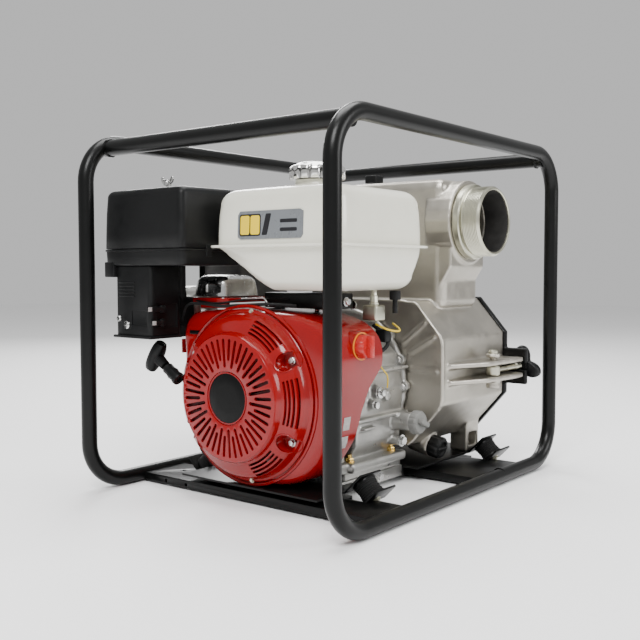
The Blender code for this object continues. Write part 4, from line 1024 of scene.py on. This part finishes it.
def under_tank():
    """The bright shroud, plates, cables and fittings between the tank and the housing."""
    lo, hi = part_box("top_shroud")
    lo, hi = lo + Vector((0, 0.006, 0)), hi + Vector((0, 0.018, 0))
    levels = [(lo.z, 0.002), (lo.z + 0.001, 0.0), (lo.z + 0.012, 0.0008), (lo.z + 0.02, 0.0022)]
    levels += crown(0.0022, 0.018, lo.z + 0.02, hi.z - 0.001, 7) + [(hi.z - 0.0004, 0.024), (hi.z, 0.028)]
    dent = [block((lo.x - 0.004, 0.08, lo.z + 0.006), (lo.x + 0.004, 0.112, lo.z + 0.02), 0.0018)]
    piece("top_shroud_shell", shell(levels, lo, hi, 0.014, 96), "steel", stands_for=("top_shroud",),
          cuts=dent, angle=50)
    refined("cover_plate", "engine_red", 0.0012)
    throttle = [(-0.2, 0.15, 0.262), (-0.208, 0.128, 0.29), (-0.204, 0.1, 0.293), (-0.206, 0.06, 0.2905),
                (-0.205, 0.02, 0.2925), (-0.198, -0.03, 0.295), (-0.18, -0.07, 0.293)]
    cable("throttle_cable", throttle, 0.0022, slot="black_plastic")
    choke = [(-0.19, 0.14, 0.3), (-0.196, 0.11, 0.296), (-0.199, 0.07, 0.294), (-0.198, 0.03, 0.299),
             (-0.18, 0.0, 0.302), (-0.15, -0.03, 0.3)]
    cable("choke_cable", choke, 0.0016, slot="black_plastic")
    rod = [(-0.2, 0.02, 0.303), (-0.198, -0.01, 0.3035), (-0.196, -0.022, 0.303), (-0.192, -0.026, 0.292)]
    cable("governor_rod", rod, 0.0013, "steel", 6)
    stay = block((-0.15, -0.12, 0.288), (-0.11, 0.02, 0.311), 0.002)
    piece("tank_stay", stay, "frame_black")
    heads = [bolt((-0.106, y, 0.293), (1, 0, 0), 0.0055) for y in (-0.095, -0.115)]
    heads.append(bolt((-0.13, -0.1215, 0.2985), NEAR_Y, 0.0055))
    piece("tank_stay_bolts", heads, "steel")
    studs = []
    for x, y in ((-0.045, -0.15), (-0.195, -0.15), (-0.045, 0.0)):
        studs.append(lathe([(0.0085, 0.3), (0.0085, 0.3135), (0.0001, 0.314)], (x, y, 0), UP, 24))
        studs.append(lathe([(0.004, 0.28), (0.004, 0.3005), (0.0001, 0.3006)], (x, y, 0), UP, 16))
    piece("tank_grommets", studs, "rubber")
    refined("throttle_lever", "black_plastic", 0.0005)
    refined("control_bracket", "engine_red", 0.0006)
    cup_lo, cup_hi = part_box("fuel_filter_cup")
    at = (cup_lo + cup_hi) / 2
    cup = block(cup_lo, (cup_hi.x, cup_hi.y, 0.2925), 0.0034, 4)
    neck = lathe([(0.0001, 0.29), (0.0078, 0.29), (0.0078, 0.2955), (0.0064, 0.2965), (0.0064, 0.306),
                  (0.0048, 0.3068), (0.0048, 0.3146), (0.0001, 0.3146)], (at.x, at.y, 0), UP, 6)
    piece("fuel_filter_cup_shell", [cup, neck], "zinc", stands_for=("fuel_filter_cup",), bevel=0.0004)
    wires()


def wires():
    """Two yellow wires and the engine switch's black lead."""
    loop = [(-0.07, -0.132, 0.264), (-0.064, -0.15, 0.256), (-0.048, -0.158, 0.253), (-0.034, -0.15, 0.256),
            (-0.03, -0.136, 0.263)]
    cable("yellow_wire_upper", loop, 0.0015, "wire_yellow")
    low = [(-0.07, -0.128, 0.225), (-0.06, -0.134, 0.2), (-0.046, -0.137, 0.184), (-0.04, -0.133, 0.165)]
    cable("yellow_wire_lower", low, 0.0011, "wire_yellow")
    lead = [(-0.06, -0.12, 0.262), (-0.054, -0.138, 0.246), (-0.058, -0.145, 0.232), (-0.072, -0.14, 0.222),
            (-0.08, -0.128, 0.218)]
    cable("switch_lead", lead, 0.003, steps=12, slot="black_plastic")
    piece("lead_clip", block((-0.064, -0.146, 0.236), (-0.048, -0.126, 0.256), 0.003), "black_plastic")


# ---------------------------------------------------------------- engine block
NEAR_FACE = -0.1265  # the crankcase's near face
BOSS_CIRCLE = 0.119
FOOT_BOLT_Y, FOOT_TOP = 0.101, 0.0548


def engine_block():
    """Crankcase and side cover with their bosses, foot and bolts, and the plainer engine nodes."""
    lo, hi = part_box("crankcase")
    cover_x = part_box("crankcase_cover")[0].x
    extras = []
    for height, spread in ((0.118, 0.012), (0.19, 0.01)):
        extras.append(block((lo.x + 0.012, -0.1235, height - 0.003), (hi.x - 0.004, -0.1, height + 0.003),
                            0.0015))
        extras.append(block((lo.x + 0.03, -0.1225, height - spread - 0.004),
                            (lo.x + 0.06, -0.1, height - spread), 0.001))
    for x, height, radius in ((-0.05, 0.158, 0.01), (-0.026, 0.15, 0.008), (-0.062, 0.14, 0.007),
                              (0.01, 0.075, 0.008)):
        extras.append(lathe([(0.0001, 0), (radius, 0), (radius * 1.15, -0.026), (0.0001, -0.026)],
                            (x, NEAR_FACE, height), NEAR_Y, 24))
    extras.append(block((lo.x + 0.004, -0.118, 0.04), (hi.x - 0.002, -0.088, 0.055), 0.004))
    extras.append(block((-0.15, -0.1, 0.04), (lo.x + 0.01, -0.09, 0.19), 0.003))
    extras.append(block((-0.145, -0.109, 0.04), (lo.x + 0.01, -0.088, 0.056), 0.003))
    for height in (0.08, 0.112, 0.146):
        extras.append(block((-0.145, -0.106, height), (lo.x + 0.01, -0.096, height + 0.005), 0.0015))
    cast("crankcase", "die_cast", extras, 0.002, 4, 0.6, "cast_aluminium")
    ribs = []
    bosses = [62 - 21 * k for k in range(7)]
    for degrees in bosses:
        spot = round_point(BOSS_CIRCLE, degrees, cover_x)
        ribs.append(lathe([(0.0001, 0.0004), (0.0085, 0.0004), (0.0085, 0.01), (0.007, 0.0112),
                           (0.0001, 0.0112)], spot, (1, 0, 0), 24))
    cast("crankcase_cover", "die_cast", ribs, 0.0018, 4, 0.6, "cast_aluminium")
    heads = [bolt(round_point(BOSS_CIRCLE, degrees, cover_x - 0.0005), BACK_X, 0.005,
                  0.005) for degrees in bosses]
    piece("cover_bolts", heads, "steel")
    plugs = [lathe([(0.0001, 0), (0.0088, 0), (0.0088, 0.003), (0.005, 0.0036), (0.005, 0.0085),
                    (0.0001, 0.009)], (-0.05, -0.1262, 0.158), NEAR_Y, 32),
             lathe([(0.0001, 0), (0.0052, 0), (0.0052, 0.005), (0.0001, 0.0055)], (-0.062, -0.1262, 0.14),
                   NEAR_Y, 24), bolt((0.01, -0.1264, 0.075), NEAR_Y, 0.0075, 0.006)]
    piece("crankcase_plugs", plugs, "steel")
    places = [(x, side * FOOT_BOLT_Y) for x in (-0.094, 0.016) for side in (-1, 1)]
    foot = [bolt((*place, FOOT_TOP), UP, 0.0066, 0.0066) for place in places]
    stems = [tube([(*place, 0.03), (*place, 0.0665)], 0.0036, 14) for place in places]
    piece("engine_foot_bolts", foot + stems, "gold_zinc")
    side_nuts = [bolt((-0.02, side * 0.1052, 0.0195), (0, side, 0), 0.0062, 0.005) for side in (-1, 1)]
    piece("rail_side_bolts", side_nuts, "steel")
    refined("cylinder_head", "die_cast", 0.0008, slot="cast_aluminium")
    refined("rocker_cover", "die_cast", 0.002, slot="cast_aluminium")
    refined("spark_plug_cap", "rubber", 0.0008, slot="black_plastic")
    oil_cap()
    for node, finish in (("muffler", "iron"), ("muffler_guard", "frame_black"), ("crankshaft", "steel"),
                         ("flywheel", "iron"), ("impeller", "iron"), ("piston", "cast_aluminium"),
                         ("volute_insert", "iron"), ("shaft_seal", "rubber"),
                         ("recoil_reel", "black_plastic")):
        refined(node, finish, 0.0005)


def oil_cap():
    """The fluted filler cap with its finger bar."""
    lo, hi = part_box("oil_filler_cap")
    at = Vector(((lo.x + hi.x) / 2, hi.y, (lo.z + hi.z) / 2))
    levels = ((0, 0.017, 0), (0.0015, 0.0188, 0.6), (0.011, 0.0188, 1), (0.014, 0.0165, 0.6),
              (0.015, 0.012, 0))

    def place(angle, height, radius, flute):
        out = radius - 0.0012 * flute * max(0.0, cos(12 * angle)) ** 2
        return at + Vector((out * cos(angle), -height, out * sin(angle)))
    bar = block((at.x - 0.0115, lo.y + 0.0002, at.z - 0.0042), (at.x + 0.0115, at.y - 0.012, at.z + 0.0042),
                0.002, turn=Matrix.Rotation(radians(25), 4, "Y"))
    piece("oil_filler_cap_shell", [skin(turned(levels, 96, place)), bar], "grey_plastic",
          body="oil_filler_cap", stands_for=("oil_filler_cap",), angle=35)


# ---------------------------------------------------------------- pump
DRUM_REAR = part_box("pump_casing")[0].x
PORT = middle("discharge_nipple")
PIN_X, PIN_Y, PIN_Z = 0.165, 0.205, 0.178  # the swing bolts' pins, on both sides


def pump_casing():
    """The pump's one casting, with its ridge, ribs and pin bosses melted in."""
    rear = DRUM_REAR
    outline = [(-0.18, 0.131), (-0.18, 0.236), (-0.128, 0.295), (0.128, 0.295), (0.18, 0.236),
               (0.18, 0.131), (0.117, 0.06), (-0.117, 0.06)]
    shrink = 0.992  # the ridge's middle lies just inside the drum's outline
    corners = [Vector((rear + 0.0035, y * shrink, PIN_Z + (z - PIN_Z) * shrink)) for y, z in outline]
    path = []
    for a, b in zip(corners, corners[1:] + corners[:1]):
        path += [a.lerp(b, t) for t in (0.1, 0.5, 0.9)]
    extras = [tube(path, 0.0042, 10, closed=True)]
    for y0, z0, y1, z1 in ((-0.172, 0.185, -0.12, 0.185), (-0.168, 0.24, -0.118, 0.21),
                           (-0.15, 0.262, -0.105, 0.225)):
        extras.append(tube([(rear + 0.001, y0, z0), (rear - 0.0005, y1, z1)], 0.0036, 8))
    for z in (0.35, 0.3):
        extras.append(lathe([(0.0001, 0), (0.01, 0), (0.012, 0.012), (0.0001, 0.012)], (0.1, -0.085, z),
                            (1, 0, 0), 20))
    # the throat that swells from the neck to the port's boss, built but not melted into the casting
    throat = []
    for y, z, half, tall in ((-0.126, 0.345, 0.058, 0.03), (-0.136, 0.372, 0.062, 0.036),
                             (-0.142, 0.4, 0.066, 0.046)):
        throat.append(lathe([(0.0001, -tall), (half * 0.8, -tall), (half, -tall * 0.4), (half, tall * 0.4),
                             (0.0001, tall)], (PORT.x, y, z), (0, -1, 0.25), 40))
    # the raised pads of the swing bolts' pins
    for side in (-1, 1):
        for z in (0.1525, 0.2035):
            extras.append(lathe([(0.0001, -0.0035), (0.012, -0.0035), (0.012, 0.0035), (0.0001, 0.0035)],
                                (PIN_X, side * PIN_Y, z), UP, 24))
    cast("pump_casing", "cast_aluminium", extras, 0.0021, 6, 0.55)
    pins, caps = [], []
    for side in (-1, 1):
        at = Vector((PIN_X, side * PIN_Y, PIN_Z))
        pins.append(tube([at - UP * 0.0265, at + UP * 0.03], 0.0043, 20))
        caps.append(lathe([(0.0001, 0.029), (0.0078, 0.029), (0.0078, 0.032), (0.006, 0.0345),
                           (0.0001, 0.035)], at, UP, 28))
        caps.append(lathe([(0.0001, -0.025), (0.0066, -0.025), (0.0066, -0.028), (0.0001, -0.029)], at, UP,
                          28))
    piece("swing_bolt_pins", pins + caps, "zinc")


BORE, COLLAR, THREAD = 0.0508, 0.0618, 0.0569
TURNS = 10
THREAD_START, THREAD_DEEP = 0.0152, 0.0011


def nipple(node, along):
    """Collar, fine thread and plain bore of a pipe nipple, with a dark sleeve of painted shade inside the
    bore.
    """
    lo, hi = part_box(node)
    along = Vector(along)
    centre = (lo + hi) / 2
    length = abs((hi - lo).dot(along))
    start = centre - along * length / 2
    profile = [(BORE, 0.0), (COLLAR - 0.0012, 0.0), (COLLAR, 0.0012), (COLLAR, 0.0105),
               (COLLAR - 0.0014, 0.0125), (THREAD - 0.0008, 0.014)]
    pitch = (length - 0.0185) / TURNS
    for k in range(TURNS):
        base = THREAD_START + pitch * k
        profile += [(THREAD - THREAD_DEEP, base), (THREAD - THREAD_DEEP, base + pitch * 0.3),
                    (THREAD, base + pitch * 0.62)]
    profile += [(THREAD - 0.0014, length - 0.0028), (THREAD - 0.0026, length - 0.0006),
                (THREAD - 0.0032, length), (BORE + 0.0014, length), (BORE, length - 0.0012)]
    piece(node + "_shell", lathe(profile, start, along, 96, ring=True), "zinc", stands_for=(node,),
          angle=24)
    # painted shade: a dark iron sleeve over the zinc bore, so the port's inside looks shaded
    painted_shade_sleeve = [(0.0498, 0.001), (0.0512, 0.001), (0.0512, length - 0.003), (0.0498, length - 0.003)]
    piece(node + "_lining", lathe(painted_shade_sleeve, start, along, 72, ring=True), "iron", slot="zinc")


def ports():
    """Both nipples, the flap and the two black plugs."""
    nipple("discharge_nipple", (0, -1, 0))
    nipple("suction_nipple", (1, 0, 0))
    refined("flap_valve", "rubber", 0.0008)
    lo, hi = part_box("priming_plug")
    at = (lo + hi) / 2
    flange = [(0.0001, 0.4944), (0.0178, 0.4944), (0.0178, 0.4978), (0.0168, 0.4988), (0.0001, 0.4988)]
    head = block((at.x - 0.012, at.y - 0.012, 0.498), (at.x + 0.012, at.y + 0.012, hi.z), 0.0016)
    piece("priming_plug_shell", [lathe(flange, (at.x, at.y, 0), UP, 40), head], "black_plastic",
          body="priming_plug", stands_for=("priming_plug",))
    lo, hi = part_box("drain_plug")
    way = Vector((0, -0.038, -0.008)).normalized()
    start = Vector((0.1, -0.128, 0.054)) + way * 0.0004
    way, across, third = basis(way)
    levels = ((0, 0.018, 0), (0.001, 0.0188, 1), (0.0165, 0.0188, 1), (0.019, 0.017, 0.5),
              (0.0198, 0.012, 0), (0.017, 0.01, 0), (0.017, 0.0001, 0))

    def place(angle, height, radius, flute):
        out = radius - 0.0016 * flute * (0.5 + 0.5 * cos(12 * angle))
        return start + way * height + (across * cos(angle) + third * sin(angle)) * out
    bar = tube([start + way * 0.0185 - Vector((0.014, 0, 0)), start + way * 0.0185 + Vector((0.014, 0, 0))],
               0.0026, 10)
    piece("drain_plug_shell", [skin(turned(levels, 120, place)), bar], "black_plastic", body="drain_plug",
          stands_for=("drain_plug",), angle=35)


STUD_TURNS, STUD_START, STUD_THREAD = 52, 0.045, 0.0663


def clean_out():
    """The black end cover with its swing bolts and knobs."""
    cast("clean_out_cover", "frame_black", [], 0.0018, 4, 0.6)
    for name, side in (("near", -1), ("far", 1)):
        pin = Vector((PIN_X, side * PIN_Y, PIN_Z))
        eye = [(0.0052, -0.0072), (0.0102, -0.0078), (0.0116, -0.0058), (0.0116, 0.0058), (0.0102, 0.0078),
               (0.0052, 0.0072)]
        profile = [(0.0001, 0.0085), (0.0047, 0.0085)]
        for k in range(STUD_TURNS):
            base = STUD_START + STUD_THREAD * k / STUD_TURNS
            profile += [(0.0047, base), (0.0041, base + 0.0006)]
        profile += [(0.004, 0.112), (0.0001, 0.112)]
        piece(f"swing_bolt_{name}_shell", [lathe(eye, pin, UP, 36, ring=True),
                                           lathe(profile, pin, (1, 0, 0), 20)], "zinc",
              body=f"swing_bolt_{name}", stands_for=(f"swing_bolt_{name}",), angle=30)
        knob(name, side)


LOBE = radians(85)  # how far the knobs' first lobe is turned
KNOB_RADIUS, KNOB_SWELL, LOBES = 0.0245, 0.01, 3


def knob(name, side):
    """A three-lobed hand knob with a hollow hub."""
    lo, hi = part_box(f"cover_knob_{name}")
    y, z = side * PIN_Y, PIN_Z
    levels = ((lo.x + 0.0056, 0.84), (lo.x + 0.0066, 0.93), (lo.x + 0.0085, 0.985), (lo.x + 0.015, 1.0),
              (hi.x - 0.003, 0.97), (hi.x - 0.0012, 0.91), (hi.x - 0.0003, 0.8), (hi.x - 0.0003, 0.35),
              (hi.x - 0.0022, 0.3), (hi.x - 0.0022, 0.01))

    def place(angle, x, scale):
        radius = (KNOB_RADIUS + KNOB_SWELL * cos(LOBES * angle)) * scale
        return x, y + radius * cos(angle + LOBE), z + radius * sin(angle + LOBE)
    hub = lathe([(0.005, 0), (0.013, 0), (0.013, 0.002), (0.0118, 0.008), (0.005, 0.008)], (lo.x, y, z),
                (1, 0, 0), 36, ring=True)
    piece(f"cover_knob_{name}_shell", [skin(turned(levels, 96, place)), hub], "black_plastic",
          body=f"cover_knob_{name}", stands_for=(f"cover_knob_{name}",), angle=45)
    tip = lathe([(0.0001, 0), (0.004, 0), (0.004, 0.0016), (0.0001, 0.0018)], (hi.x - 0.0022, y, z),
                (1, 0, 0), 20)
    piece(f"knob_{name}_stud_end", tip, "zinc", body=f"cover_knob_{name}")


# ---------------------------------------------------------------- floor, light and camera
FLOOR_SIZE = 14
AMBIENT = 0.62
LAMPS = (  # name, place, side length, watts
    ("key", (-2.0, -1.1, 2.4), 1.3, 105),
    ("side", (0.9, -2.5, 1.3), 1.2, 40),
    ("top", (0.2, 0.2, 2.6), 1.7, 85),
    ("rim", (1.6, 2.0, 1.6), 1.0, 40),
)
LENS, SENSOR = 50.009, 36
SHIFT_X, SHIFT_Y = -0.022938, -0.0026875
CAMERA_AT = (-1.158177, -0.898599, 0.344911)
AZIMUTH, ELEVATION = radians(-52.193), radians(3.1163)


def studio():
    """A pale floor, an even white surround and four soft lamps."""
    bpy.ops.mesh.primitive_plane_add(size=FLOOR_SIZE, location=(0, 0, -0.0004))
    floor = bpy.context.object
    floor.name = "floor"
    paint = bpy.data.materials.new("floor_white")
    paint.use_nodes = True
    shader = paint.node_tree.nodes["Principled BSDF"]
    shader.inputs["Base Color"].default_value = (0.92, 0.92, 0.92, 1)
    shader.inputs["Roughness"].default_value = 0.7
    floor.data.materials.append(paint)
    world = bpy.data.worlds.new("studio")
    bpy.context.scene.world = world
    world.use_nodes = True
    world.node_tree.nodes["Background"].inputs["Color"].default_value = (1.0, 1.0, 1.0, 1)
    world.node_tree.nodes["Background"].inputs["Strength"].default_value = AMBIENT
    for name, at, size, power in LAMPS:
        light = bpy.data.lights.new(name, "AREA")
        light.shape = "SQUARE"
        light.size, light.energy = size, power
        lamp = bpy.data.objects.new(name, light)
        bpy.context.scene.collection.objects.link(lamp)
        lamp.location = at
        lamp.rotation_euler = (Vector((0, 0, 0.25)) - Vector(at)).to_track_quat("-Z", "Y").to_euler()


def camera():
    """The photograph's own viewpoint."""
    lens = bpy.data.cameras.new("view")
    lens.lens, lens.sensor_width = LENS, SENSOR
    lens.shift_x, lens.shift_y = SHIFT_X, SHIFT_Y
    holder = bpy.data.objects.new("view", lens)
    bpy.context.scene.collection.objects.link(holder)
    holder.location = CAMERA_AT
    look = Vector((-sin(AZIMUTH) * cos(ELEVATION), cos(AZIMUTH) * cos(ELEVATION), -sin(ELEVATION)))
    holder.rotation_euler = look.to_track_quat("-Z", "Y").to_euler()
    bpy.context.scene.camera = holder


carrying_frame()
recoil_cover()
starter()
fan_housing()
engine_switch()
fuel_tank()
fuel_cap()
air_cleaner()
wing_nut()
carburettor_group()
under_tank()
engine_block()
pump_casing()
ports()
clean_out()
studio()
camera()
